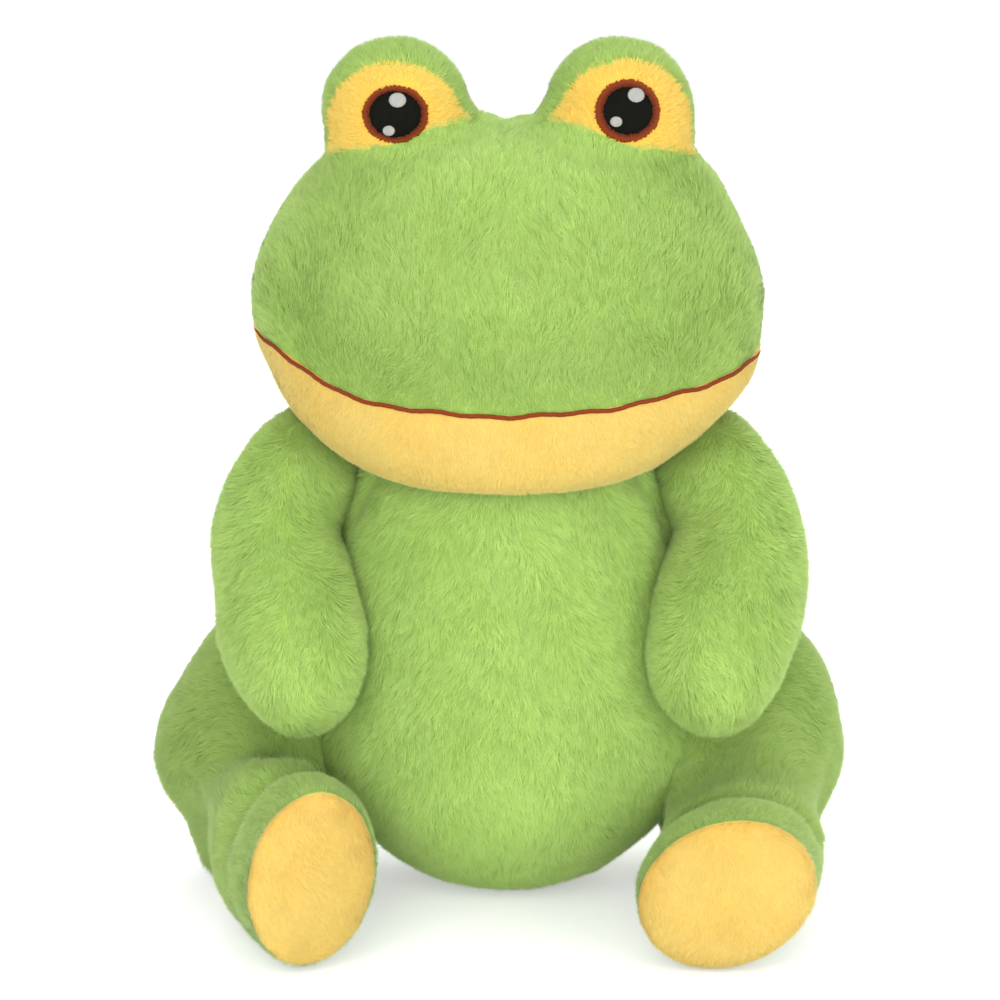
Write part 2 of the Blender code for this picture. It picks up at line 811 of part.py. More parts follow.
def leg_rings(side_name):
    """Rings from the hip, out to the knee and round to the foot."""
    side = SIDES[side_name]
    across_up = Vector((0.0, 0.0, 1.0))
    thigh_out = knee_out[side_name] - hip_out
    rings = []
    for out, ahead, high, yaw, wide, tall in thigh_path_shares:
        angle = math.radians(yaw)
        along = Vector((side * math.cos(angle), -math.sin(angle), 0.0))
        across = across_up.cross(along)
        knee_forward = ahead * thigh_radius
        x = hip_out + out * thigh_out
        centre = Vector((side * x, hip_back - knee_forward, high * hip_height))
        rings.append(
            ring(
                centre, across, across_up, wide * thigh_radius, tall * thigh_radius,
                leg_ring_points,
            )
        )
    roll = foot_roll_degrees[side_name]
    tilt = math.radians(roll)
    half_height = math.hypot(
        foot_long_radius * math.sin(tilt), foot_short_radius * math.cos(tilt)
    )
    run = leg_reach[side_name] - knee_forward
    sideways = foot_out[side_name] - knee_out[side_name]
    for onward, ahead, turn, size in foot_path_shares:
        angle = math.radians(90.0 + turn * toe_in_degrees[side_name])
        along = Vector((side * math.cos(angle), -math.sin(angle), 0.0))
        across = across_up.cross(along)
        x = knee_out[side_name] + onward * sideways
        centre = Vector((side * x, hip_back - knee_forward - ahead * run, half_height))
        rings.append(
            ring(
                centre, across, across_up, size * foot_long_radius, size * foot_short_radius,
                leg_ring_points, roll,
            )
        )
    sole = centre + along * (1.0 - ahead) * run
    return rings, sole, along


def make_leg(side_name, torso):
    """Inner and outer panels, a yellow sole and stuffing, hinged at the hip."""
    side = SIDES[side_name]
    hip = Vector((side * hip_out, hip_back, hip_height))
    rings, sole, facing = leg_rings(side_name)
    form = SoftForm("leg_" + side_name, rings, hip, sole, True)
    beside = torso_room(
        "room_by_leg_" + side_name, torso.surface_tree(), hip, leg_lift_range, side
    )
    edge = sole - facing * sole_inset_share * foot_short_radius
    front, behind = seam_pair("sole_seam_" + side_name, edge, facing)
    knee = Vector((side * knee_out[side_name] * leg_seam_share, hip_back, 0.0))
    run = Vector((edge.x, edge.y, 0.0)) - knee
    outward = run.cross(Vector((0.0, 0.0, 1.0))).normalized()
    if outward.x * side < 0.0:
        outward = -outward
    outside, inside = seam_pair("leg_seam_" + side_name, knee, outward)
    clear = [torso.clearance, beside]
    pieces = [
        form.panel("leg_outer_panel_" + side_name, PLUSH_GREEN, [inside, front] + clear),
        form.panel("leg_inner_panel_" + side_name, PLUSH_GREEN, [outside, front] + clear),
        form.panel("sole_" + side_name, PLUSH_YELLOW, [behind]),
        form.stuffing("leg_stuffing_" + side_name, clear),
    ]
    carry(add_pivot("hip_pivot_" + side_name, hip), pieces)
    return form


def make_frog():
    torso = make_torso()
    neck_pivot = make_neck()
    head, head_pieces = make_head()
    head_pivot = add_pivot("head_pivot", Vector((0.0, 0.0, neck_pivot_height)))
    carry(neck_pivot, [head_pivot])
    for side_name in SIDES:
        head_pieces += make_eye(side_name, head)
        leg = make_leg(side_name, torso)
        make_arm(side_name, torso, head, leg)
    carry(head_pivot, head_pieces)


make_frog()
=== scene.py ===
import json
import math

import bmesh
import bpy
import numpy as np
from mathutils import Matrix, Vector
from mathutils.bvhtree import BVHTree
from mathutils.kdtree import KDTree


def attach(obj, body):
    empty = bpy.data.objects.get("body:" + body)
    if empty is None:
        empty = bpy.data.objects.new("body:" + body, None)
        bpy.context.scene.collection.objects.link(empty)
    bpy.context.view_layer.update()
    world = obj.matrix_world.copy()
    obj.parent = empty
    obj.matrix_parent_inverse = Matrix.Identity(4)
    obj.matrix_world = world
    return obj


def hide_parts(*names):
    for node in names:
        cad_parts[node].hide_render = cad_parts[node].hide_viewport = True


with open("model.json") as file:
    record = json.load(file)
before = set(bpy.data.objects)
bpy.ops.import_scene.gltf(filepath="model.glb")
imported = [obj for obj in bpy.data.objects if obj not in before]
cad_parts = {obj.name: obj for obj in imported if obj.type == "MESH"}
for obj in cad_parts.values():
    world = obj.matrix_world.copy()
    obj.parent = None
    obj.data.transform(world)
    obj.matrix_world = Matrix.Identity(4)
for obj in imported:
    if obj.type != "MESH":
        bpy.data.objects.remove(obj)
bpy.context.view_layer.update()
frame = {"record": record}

scene = bpy.context.scene
X_AXIS, Y_AXIS, UP = Vector((1, 0, 0)), Vector((0, 1, 0)), Vector((0, 0, 1))

# Sizes in metres, as in the CAD source
TORSO = dict(width=0.136, depth=0.122, height=0.189, points=10, profile=[
    (0.000, 0.34, 0.36, 0.02), (0.040, 0.57, 0.60, -0.01), (0.135, 0.82, 0.85, -0.06),
    (0.290, 1.01, 1.03, -0.09), (0.490, 1.01, 1.01, -0.07), (0.690, 0.87, 0.88, -0.01),
    (0.835, 0.75, 0.76, 0.02), (0.950, 0.49, 0.51, 0.02),
])
TORSO_SETTLE = 0.0005
# the belly bulges over the thighs: how far, and where from the front and the floor
BELLY_SWELL, BELLY_PLACE, BELLY_REACH = 0.0070, (-0.034, 0.047), 0.023
CHEST_SEAM_LEAN = 11.0
CHEST_SEAM_FORWARD = 0.010
NECK_BALL = 0.0525
NECK_PIVOT = 0.139
NECK_PLUG = 0.024
HEAD = dict(width=0.180, depth=0.128, height=0.126, points=10, profile=[
    (0.010, 0.42, 0.44, -0.42), (0.080, 0.66, 0.70, -0.28), (0.240, 0.92, 0.95, -0.11),
    (0.430, 1.00, 1.02, -0.04), (0.620, 0.97, 0.97, -0.01), (0.800, 0.82, 0.86, 0.02),
    (0.940, 0.63, 0.64, 0.05),
])
HEAD_BASE = 0.1465
HEAD_END_SHIFTS = (-0.20, 0.08)
MOUTH_HEIGHT = 0.1955
MOUTH_SLOPE = 12.5
MOUTH_SWEEP = 80.0
MOUTH_CURL = 0.0072
MOUTH_DIP = 0.0010
HEAD_SIDE_SEAM = 0.004
EYE_RADIUS = 0.0252
EYE_SPACING = 0.0378
EYE_RISE = -0.0008
EYE_FORWARD = 0.0030
PATCH_REACH = 67.5
PATCH_DROOP = {"left": 15.5, "right": 17.5}
PATCH_TURN = {"left": 8.0, "right": 0.0}
LOOK_UP = {"left": 9.0, "right": 6.2}
LOOK_OUT = {"left": 6.2, "right": -1.0}
IRIS = 0.0117
PUPIL = 0.0090
HIGHLIGHTS = {"large": 0.0031, "small": 0.0022}
HIGHLIGHT_PLACES = {
    "left": {"large": (0.30, 0.55), "small": (-0.45, -0.39)},
    "right": {"large": (0.09, 0.51), "small": (-0.23, -0.58)},
}
# width and height of the stitched eye as shares of a round one
EYE_SHAPE = {"left": (0.930, 0.885), "right": (0.940, 0.805)}
PUPIL_SHAPE = {"left": (0.925, 0.875), "right": (0.960, 0.840)}
HIGHLIGHT_SHAPE = (0.95, 0.82)
# where the forehead's fur covers the eye patch: a point, outwards and up from the eye's
# middle, and the slopes of the two edges that meet there
PATCH_LOW = (0.0034, -0.0134)
PATCH_LOW_SLOPES = (20.5, 3.1)
VIEW_RISE = 13.0
ARM_REACH, ARM_DROP, ARM_FORWARD, ARM_RADIUS = 0.0838, 0.0815, 0.070, 0.0275
SHOULDER = (0.049, 0.001, 0.149)
ARM_LEAN_START = 0.30
ARM_SEAM = 0.72
ARM_TIP = (0.34, 1.02, 0.98)
ARM_PATH = [
    (0.10, 0.00, 0.00, 0.0, 0.74), (0.58, 0.04, -0.02, 26.0, 0.96),
    (0.86, 0.28, 0.25, 74.0, 1.00), (0.78, 0.58, 0.52, 102.0, 1.00),
    (0.50, 0.86, 0.77, 114.0, 0.86), (0.38, 0.97, 0.91, 118.0, 0.48),
]
HIP = (0.046, 0.009, 0.047)
THIGH_RADIUS = 0.050
FOOT_LONG, FOOT_SHORT = 0.0318, 0.0265
KNEE_OUT = {"left": 0.0880, "right": 0.0960}
FOOT_OUT = {"left": 0.0720, "right": 0.0645}
LEG_REACH = {"left": 0.123, "right": 0.121}
TOE_IN = {"left": 3.0, "right": 32.0}
FOOT_ROLL = {"left": 24.0, "right": 84.0}
THIGH_PATH = [
    (0.155, 0.000, 1.00, 0.0, 0.58, 0.60), (0.390, -0.037, 1.02, 10.0, 0.90, 1.00),
    (0.900, 0.148, 1.05, 40.0, 0.92, 1.08), (1.000, 0.713, 0.84, 75.0, 0.74, 0.86),
]
FOOT_PATH = [
    (0.35, 0.282, 0.40, 0.96), (0.80, 0.592, 0.85, 1.00),
    (1.00, 0.845, 1.00, 1.03), (1.03, 0.965, 1.00, 0.92),
]
SOLE_INSET = {"left": 0.43, "right": 0.300}
LEG_SEAM = 0.96
SOLE_LEAN = {"left": (0.06, 0.10), "right": (0.02, -0.025)}
# hollows, or swellings where the depth is negative: place, with outwards first, width
# and depth, at the outer ankles, the thighs, the ends of the arms, an elbow, the corners of
# the jaw and beside an eye
HOLLOWS = {
    "leg_left": [((0.120, -0.038, 0.034), (0.030, 0.022, 0.019), 0.0100),
                 ((0.118, 0.004, 0.022), (0.030, 0.034, 0.013), 0.0080),
                 ((0.110, 0.000, 0.080), (0.030, 0.040, 0.018), -0.0030)],
    "leg_right": [((0.116, -0.044, 0.027), (0.030, 0.024, 0.021), 0.0090),
                  ((0.116, 0.004, 0.019), (0.030, 0.034, 0.015), 0.0072),
                  ((0.113, 0.000, 0.078), (0.030, 0.040, 0.018), 0.0036)],
    "arm_left": [((0.0608, -0.0704, 0.0691), (0.014, 0.014, 0.014), 0.0028)],
    "arm_right": [((0.0608, -0.0704, 0.0691), (0.014, 0.014, 0.014), 0.0028),
                  ((0.102, -0.035, 0.115), (0.030, 0.030, 0.015), 0.0026)],
    "head_left": [((0.086, -0.010, 0.184), (0.030, 0.050, 0.014), -0.0016),
                  ((0.068, -0.002, 0.255), (0.014, 0.040, 0.014), -0.0030)],
    "head_right": [((0.086, -0.010, 0.184), (0.030, 0.050, 0.012), 0.0020)],
}
ANKLE_BACK, ANKLE_WIDTH, ANKLE_DEPTH = 0.026, 0.0055, 0.0024
SIDES = {"left": 1.0, "right": -1.0}

# The pile: length and width of a hair, its lift in degrees, and how many stand on a square
# metre. Below that, how deep the cloth lies under the outer surface.
PILE = dict(length=0.0050, lift=21.5, width=0.00027, density=5.8e6)
NAP = dict(length=0.0026, lift=21.0, width=0.00024, density=8.0e6)
GREEN_DEPTH = 0.0023
YELLOW_DEPTH = 0.0011
HOOD_DEPTH = 0.0002
HOOD_SIDE_DEPTH = 0.0005
SEAM_CLOTH_DEPTH = 0.0012
STITCHED_DEPTH = 0.0002
FLOOR_ROOM = 0.0004
FLOOR_LEVEL = 0.0006
# painted shade over the whole leg, and more on each thigh
FOOT_PAINTED_SHADE, THIGH_PAINTED_SHADE = 0.20, {"left": 0.06, "right": 0.20}
TORSO_SEED, HEAD_SEED, LIMB_SEED, SOLE_SEED, THREAD_SEED = 11, 20, 40, 60, 7
CLUMP_AREA = 2.4e-6
CLUMP_SHARE = 0.22
ROOT_SINK = 0.0003
# the cloth under the pile takes the ramp's colour near the roots, darker as painted shade
SKIN_TIP = 0.20

# How the cloth is drawn in at the seams, and how finely the forms are made
CHEST_SEAM_DEPTH, BACK_SEAM_DEPTH = 0.0022, 0.0020
HEAD_SIDE_DEPTH, HEAD_BACK_DEPTH = 0.0010, 0.0018
SEAM_WIDTH = 0.004
DART_DEPTH, DART_WIDTH = 0.0022, 0.003
FORM_LEVELS, HEAD_LEVELS = 4, 3
HEAD_VOXEL = 0.0021

# How close the limbs' cloth lies to its neighbours, how deep in one it is left out, how far
# a neighbour is looked for, and how far soft pieces press into each other when a joint moves
TORSO_GAP, LEG_GAP, RAISED_LEG_GAP, HEAD_GAP = 0.0004, 0.0010, 0.0006, 0.0012
TORSO_DEEP, NEIGHBOUR_DEEP = 0.006, 0.004
SEARCH_REACH = 0.06
NEAR_REACH = 0.02
LONGEST_EDGE = 0.007
SOFT_GIVE = 0.0030

# Thread: the mouth's cord of three strands and the stitched eyes
THREAD_SCALE, THREAD_BUMP = 0.314, 0.0002
CORD_STEPS, CORD_COLUMNS, CORD_RAYS = 1500, 18, 240
CORD_OUT, CORD_RADIUS, CORD_LOBE, CORD_PITCH, CORD_END = 0.0013, 0.00058, 0.00012, 0.0042, 0.012
RING_THREADS, RING_POINTS, RING_ROWS = 170, 4, 7
DISC_COLUMNS, PUPIL_ROWS, HIGHLIGHT_ROWS = 96, 34, 12

# The studio: the floor's half width and glow, the world's strength on the object, the
# camera's distance, the width that it sees there and the point that it looks at, and the
# lamps with their place, the height that they aim at, their size and their power
FLOOR_HALF, FLOOR_GLOW, WORLD_STRENGTH = 6, 0.42, 0.62
VIEW_DISTANCE, VIEW_WIDTH, VIEW_MIDDLE, SENSOR = 1.5, 0.347, (-0.0024, 0.0, 0.136), 36.0
LAMPS = {
    "key": ((-0.6, -1.8, 1.2), 0.12, 1.4, 14.5),
    "fill": ((1.2, -1.4, 0.7), 0.12, 1.2, 10.0),
    "low": ((0.0, -1.7, 0.14), 0.06, 1.0, 17.0),
    "over": ((0.0, 0.45, 1.5), 0.15, 1.2, 7.0),
    "behind": ((0.6, 1.7, 0.8), 0.12, 1.4, 11.0),
}


# ---------------------------------------------------------------- mesh helpers
def unit(vectors):
    return vectors / np.maximum(np.linalg.norm(vectors, axis=-1, keepdims=True), 1e-12)


def lengths(vectors):
    return np.linalg.norm(vectors, axis=-1)


def bell(distance, width):
    """A smooth peak of 1 where the distance is 0."""
    return np.exp(-(distance / width) ** 2)


def dots(a, b):
    return np.einsum("ij,ij->i", a, b)


def waves(points, scale, seed, count=7):
    """Smooth noise of unit size, with features about as wide as scale."""
    rng = np.random.default_rng(seed)
    k = unit(rng.normal(size=(count, 3))) * math.tau / scale
    k *= rng.uniform(0.55, 1.5, (count, 1))
    phase = rng.uniform(0, math.tau, count)
    return np.sin(points @ k.T + phase).sum(1) / math.sqrt(count / 2)


def smoothstep(low, high, value):
    t = np.clip((value - low) / (high - low), 0, 1)
    return t * t * (3 - 2 * t)


def ring(centre, across, up, half_across, half_up, points, roll=0.0):
    gain = 3.0 / (2.0 + math.cos(math.tau / points))
    tilt = math.radians(roll)
    places = []
    for step in range(points):
        angle = math.tau * step / points
        a = half_across * gain * math.cos(angle)
        u = half_up * gain * math.sin(angle)
        along = a * math.cos(tilt) - u * math.sin(tilt)
        rise = a * math.sin(tilt) + u * math.cos(tilt)
        places.append(centre + across * along + up * rise)
    return places


def smooth_form(rings, start, end, levels):
    """The closed surface of a cage of rings, as places and three cornered faces."""
    cage = bmesh.new()
    rows = [[cage.verts.new(place) for place in row] for row in rings]
    first, last = cage.verts.new(start), cage.verts.new(end)
    points = len(rows[0])
    for step in range(points):
        ahead = (step + 1) % points
        cage.faces.new((first, rows[0][ahead], rows[0][step]))
        cage.faces.new((last, rows[-1][step], rows[-1][ahead]))
        for low, high in zip(rows, rows[1:]):
            cage.faces.new((low[step], low[ahead], high[ahead], high[step]))
    bmesh.ops.recalc_face_normals(cage, faces=cage.faces)
    return settled(cage, "SUBSURF", levels=levels, render_levels=levels)


def add_object(name, data):
    thing = bpy.data.objects.new(name, data)
    scene.collection.objects.link(thing)
    return thing


def mesh_of(work):
    mesh = bpy.data.meshes.new("working")
    work.to_mesh(mesh)
    work.free()
    return mesh


def settled(work, kind, **settings):
    """A working mesh with a modifier applied, as places and three cornered faces."""
    mesh = mesh_of(work)
    thing = add_object("working", mesh)
    modifier = thing.modifiers.new(kind, kind)
    for name, value in settings.items():
        setattr(modifier, name, value)
    bpy.context.view_layer.update()
    graph = bpy.context.evaluated_depsgraph_get()
    made = bpy.data.meshes.new_from_object(thing.evaluated_get(graph))
    bpy.data.objects.remove(thing)
    places, faces = arrays(made)
    bpy.data.meshes.remove(made)
    bpy.data.meshes.remove(mesh)
    return places, faces


def arrays(mesh):
    mesh.calc_loop_triangles()
    places = np.zeros(len(mesh.vertices) * 3)
    mesh.vertices.foreach_get("co", places)
    faces = np.zeros(len(mesh.loop_triangles) * 3, np.int64)
    mesh.loop_triangles.foreach_get("vertices", faces)
    return places.reshape(-1, 3), faces.reshape(-1, 3)


def vertex_normals(places, faces):
    flat = np.cross(places[faces[:, 1]] - places[faces[:, 0]],
                    places[faces[:, 2]] - places[faces[:, 0]])
    total = np.zeros_like(places)
    for corner in range(3):
        np.add.at(total, faces[:, corner], flat)
    return unit(total)


def relax(places, faces, rounds, weight):
    """Move each point towards the middle of its neighbours."""
    weight = np.broadcast_to(weight, len(places))
    pairs = np.concatenate([faces[:, [0, 1]], faces[:, [1, 2]], faces[:, [2, 0]]])
    pairs = np.concatenate([pairs, pairs[:, ::-1]])
    count = np.bincount(pairs[:, 0], minlength=len(places))[:, None]
    for _ in range(rounds):
        middle = np.zeros_like(places)
        for axis in range(3):
            middle[:, axis] = np.bincount(
                pairs[:, 0], weights=places[pairs[:, 1], axis], minlength=len(places))
        places = places + (middle / np.maximum(count, 1) - places) * weight[:, None]
    return places


def tree_of(places, faces):
    return BVHTree.FromPolygons(places.tolist(), faces.tolist())


def height_over(tree, places, reach):
    """Signed distance of places from a closed surface, up to a reach."""
    heights = np.full(len(places), reach)
    for i, place in enumerate(places):
        hit, normal, _, distance = tree.find_nearest(place, reach)
        if hit is not None:
            below = (Vector(place) - hit).dot(normal) < 0.0
            heights[i] = -distance if below else distance
    return heights


def working_mesh(places, faces):
    work = bmesh.new()
    verts = [work.verts.new(place) for place in places]
    for face in faces:
        work.faces.new([verts[i] for i in face])
    return work


def cut_along(places, faces, planes):
    """Split the faces along planes, each a (point, normal), and keep everything."""
    work = working_mesh(places, faces)
    for point, normal in planes:
        geometry = work.verts[:] + work.edges[:] + work.faces[:]
        bmesh.ops.bisect_plane(work, geom=geometry, dist=1e-6, plane_co=point, plane_no=normal)
    bmesh.ops.triangulate(work, faces=work.faces)
    mesh = mesh_of(work)
    result = arrays(mesh)
    bpy.data.meshes.remove(mesh)
    return result


def beyond(places, point, normal):
    """Signed distance of places from a plane."""
    return (places - np.array(point)) @ np.array(normal)


# ---------------------------------------------------------------- fur
def scatter(places, faces, density, rng, keep):
    """Random places on the faces: face, weights of its corners."""
    a, b, c = (places[faces[:, k]] for k in range(3))
    area = lengths(np.cross(b - a, c - a)) / 2
    share = keep[faces].mean(1)
    total = np.cumsum(area * share)
    count = int(total[-1] * density)
    picks = (np.arange(count) + rng.random(count)) / count * total[-1]
    face = np.minimum(np.searchsorted(total, picks), len(faces) - 1)
    u, v = rng.random(count), rng.random(count)
    over = u + v > 1
    u[over], v[over] = 1 - u[over], 1 - v[over]
    return face, np.stack([1 - u - v, u, v], 1)


def crest_side(normals):
    """Before (below 0) or behind the crest that the pile of both sides runs up to."""
    return normals[:, 1] - 0.2 * np.maximum(normals[:, 2], 0)


def grow(places, faces, normals, values, comb, pile, seed, swirl):
    """The pile of a surface: fine tapering hairs, each one face.

    values: per vertex, keep (0 bare), size (share of length), room above the cloth and
    its painted shading (how much darker, as painted shade; below 0, lighter, as painted light).
    """
    rng = np.random.default_rng(seed)
    face, weights = scatter(places, faces, pile["density"], rng, values["keep"])
    corners = faces[face]

    def mix(per_vertex):
        return np.einsum("ij,ij...->i...", weights, per_vertex[corners])

    root, normal = mix(places), unit(mix(normals))
    size, room = mix(values["size"]), mix(values["room"])
    count = len(root)
    flow = comb(root, normal)
    flow = unit(flow - normal * dots(flow, normal)[:, None])
    side = np.cross(flow, normal)
    # tufts lean together in small clumps
    heads = rng.permutation(count)[:max(2, int(count / (pile["density"] * CLUMP_AREA)))]
    finder = KDTree(len(heads))
    for i, place in enumerate(root[heads].tolist()):
        finder.insert(place, i)
    finder.balance()
    clump = np.array([finder.find(place)[1] for place in root.tolist()])
    own = rng.random(count)
    tone_with_painted_shade = 0.6 + 0.4 * (0.5 * rng.random(len(heads))[clump] + 0.5 * own)
    # painted shade darkens the tone, and painted light, below 0, lightens it
    tone_with_painted_shade = tone_with_painted_shade * (1 - 0.75 * mix(values["painted_shading"]))
    turn = rng.normal(0, 0.17, len(heads))[clump]
    angle = swirl * waves(root, 0.036, seed + 1) + 0.6 * swirl * waves(root, 0.012, seed + 2)
    angle = angle + turn + rng.normal(0, 0.26, count)
    flow = flow * np.cos(angle)[:, None] + side * np.sin(angle)[:, None]
    # the pile is shorter along the crest, where it meets from both sides
    crest = bell(crest_side(normal), 0.12)
    size = size * (1 - 0.30 * crest * smoothstep(0.2, 0.6, normal[:, 2]))
    length = pile["length"] * size * (1 + 0.07 * waves(root, 0.012, seed + 3)
                                      + rng.normal(0, 0.14, count))
    length = np.clip(length, 0.15 * pile["length"], 1.35 * pile["length"])
    lift = math.radians(pile["lift"]) * (1 + 0.07 * waves(root, 0.016, seed + 4)
                                         + rng.normal(0, 0.13, count))
    lift = np.clip(lift, 0.05, 1.4)
    lift = np.minimum(lift, np.arcsin(np.clip(room / length, 0.02, 1)))
    tip = root + (flow * np.cos(lift)[:, None] + normal * np.sin(lift)[:, None]) \
        * length[:, None]
    pull = CLUMP_SHARE * (0.5 + 0.5 * rng.random(count))[:, None]
    tip = tip + (tip[heads][clump] - tip) * pull
    roll = rng.normal(0, 0.35, count)[:, None]
    heading = unit(tip - root)
    wide = unit(np.cross(heading, normal))
    wide = wide * np.cos(roll) + np.cross(heading, wide) * np.sin(roll)
    half = (pile["width"] * rng.uniform(0.7, 1.3, count) / 2)[:, None] * wide
    sink = normal * ROOT_SINK
    points = np.stack([root - half - sink, root + half - sink, tip], 1)
    points[..., 2] = np.maximum(points[..., 2], FLOOR_ROOM)
    blade_normal = unit(np.cross(wide, heading))
    blade_normal *= np.where(dots(blade_normal, normal) < 0, -1, 1)[:, None]
    shade = unit(normal * 0.82 + blade_normal * 0.18)
    return dict(points=points, normal=shade, root_normal=normal, tone_with_painted_shade=tone_with_painted_shade)


def bake_place(places, axis, low, size):
    """Where a place lies on the sheet of six box projected charts."""
    share = (places - low) / size
    kind = axis % 3
    u = np.where(kind == 0, share[:, 1], share[:, 0])
    v = np.where(kind == 2, share[:, 1], share[:, 2])
    column, row = axis % 3, axis // 3
    return np.stack([(column + 0.03 + 0.94 * u) / 3, (row + 0.03 + 0.94 * v) / 2], 1)


def main_axis(normals):
    kind = np.abs(normals).argmax(1)
    sign = np.take_along_axis(normals, kind[:, None], 1)[:, 0] < 0
    return kind + 3 * sign


def placed(name, mesh, body, nodes, finish):
    """A mesh as a piece that rides on a body and stands for its nodes."""
    slot, material = finish
    mesh.materials.append(material)
    thing = add_object(name, mesh)
    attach(thing, body)
    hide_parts(*nodes)


def make_piece(name, body, nodes, finish, places, faces, normals, fur=None, painted_shading=0.0):
    """A stuffed piece from its cloth and its pile."""
    used = np.unique(faces)
    remap = np.zeros(len(places), np.int64)
    remap[used] = np.arange(len(used))
    skin, skin_faces = places[used], remap[faces]
    a, b, c = (skin[skin_faces[:, k]] for k in range(3))
    painted_shading = np.broadcast_to(painted_shading, len(places))[used]
    points, shade, corners = [skin], [normals[used]], [skin_faces.ravel()]
    tips = [np.full(len(skin), SKIN_TIP)]
    # the cloth under the pile is drawn darker by the same painted shade, and lighter by painted
    # light
    tones_with_painted_shade = [(0.8 + 0.1 * waves(skin, 0.02, 5)) * (1 - 0.75 * painted_shading)]
    axes = [np.repeat(main_axis(np.cross(b - a, c - a)), 3)]
    if fur is not None:
        count = len(fur["points"])
        points.append(fur["points"].reshape(-1, 3))
        shade.append(np.repeat(fur["normal"], 3, 0))
        corners.append(len(skin) + np.arange(3 * count))
        tips.append(np.tile([0.0, 0.0, 1.0], count))
        tones_with_painted_shade.append(np.repeat(fur["tone_with_painted_shade"], 3))
        axes.append(np.repeat(main_axis(fur["root_normal"]), 3))
    points, corners = np.concatenate(points), np.concatenate(corners)
    mesh = bpy.data.meshes.new(name)
    mesh.vertices.add(len(points))
    mesh.vertices.foreach_set("co", points.astype(np.float32).ravel())
    mesh.loops.add(len(corners))
    mesh.loops.foreach_set("vertex_index", corners.astype(np.int32))
    mesh.polygons.add(len(corners) // 3)
    mesh.polygons.foreach_set("loop_start", np.arange(0, len(corners), 3, dtype=np.int32))
    mesh.update(calc_edges=True)
    mesh.validate()
    mesh.shade_smooth()
    low = points.min(0)
    size = np.maximum(points.max(0) - low, 1e-6)
    uv = mesh.uv_layers.new(name="OFBake")
    place = bake_place(points[corners], np.concatenate(axes), low, size)
    uv.data.foreach_set("uv", place.astype(np.float32).ravel())
    for label, numbers in (("tip", tips), ("tone_with_painted_shade", tones_with_painted_shade)):
        layer = mesh.attributes.new(label, "FLOAT", "POINT")
        layer.data.foreach_set("value", np.concatenate(numbers).astype(np.float32))
    mesh.normals_split_custom_set_from_vertices(np.concatenate(shade).astype(np.float32))
    placed(name, mesh, body, nodes, finish)


# ---------------------------------------------------------------- materials
def new_material(name, **sockets):
    material = bpy.data.materials.new(name)
    material.use_nodes = True
    shader = material.node_tree.nodes["Principled BSDF"]
    for socket, value in sockets.items():
        shader.inputs[socket.replace("_", " ")].default_value = value
    return material, material.node_tree, shader


def add_node(tree, kind, **settings):
    node = tree.nodes.new(kind)
    for name, value in settings.items():
        if name in node.inputs:
            node.inputs[name].default_value = value
        else:
            setattr(node, name, value)
    return node


def link(tree, source, output, target, socket):
    tree.links.new(source.outputs[output], target.inputs[socket])


def ramp(tree, stops, source, output="Fac"):
    """Colours by the value that a source puts out."""
    node = add_node(tree, "ShaderNodeValToRGB")
    link(tree, source, output, node, "Fac")
    elements = node.color_ramp.elements
    while len(elements) < len(stops):
        elements.new(0.5)
    for element, (place, colour) in zip(elements, stops):
        element.position = place
        element.color = (*colour, 1.0)
    return node


def multiply(tree, first, *others):
    """Colours multiplied with each other."""
    for second in others:
        node = add_node(tree, "ShaderNodeMix", data_type="RGBA", blend_type="MULTIPLY")
        node.inputs["Factor"].default_value = 1.0
        tree.links.new(first, node.inputs[6])
        tree.links.new(second.outputs["Color"], node.inputs[7])
        first = node.outputs[2]
    return first


def plush(name, stops, mottle, bright):
    """Pile with painted shade towards its roots, tufts of unlike lightness, and the painted shade
    and painted light that its tone carries.
    """
    material, tree, shader = new_material(
        name, Roughness=0.90, Sheen_Weight=0.22, Sheen_Roughness=0.45,
        Sheen_Tint=(0.93, 1.0, 0.80, 1.0), Specular_IOR_Level=0.25)
    tip = add_node(tree, "ShaderNodeAttribute", attribute_name="tip")
    colours = ramp(tree, stops, tip)
    tone_with_painted_shade = add_node(tree, "ShaderNodeAttribute", attribute_name="tone_with_painted_shade")
    low, high = bright
    # below 0.6 the tone is painted shade
    tones_with_painted_shade = ramp(tree, [(0.0, (0.38, 0.50, 0.27)), (0.6, (low, low, 0.97 * low)),
                        (1.0, (high,) * 3)], tone_with_painted_shade)
    where = add_node(tree, "ShaderNodeTexCoord")
    noise = add_node(tree, "ShaderNodeTexNoise", Scale=34.0, Detail=3.0, Roughness=0.55)
    link(tree, where, "Object", noise, "Vector")
    patches = ramp(tree, [(0.30, mottle[0]), (0.70, mottle[1])], noise)
    tree.links.new(multiply(tree, colours.outputs["Color"], tones_with_painted_shade, patches),
                   shader.inputs["Base Color"])
    return material


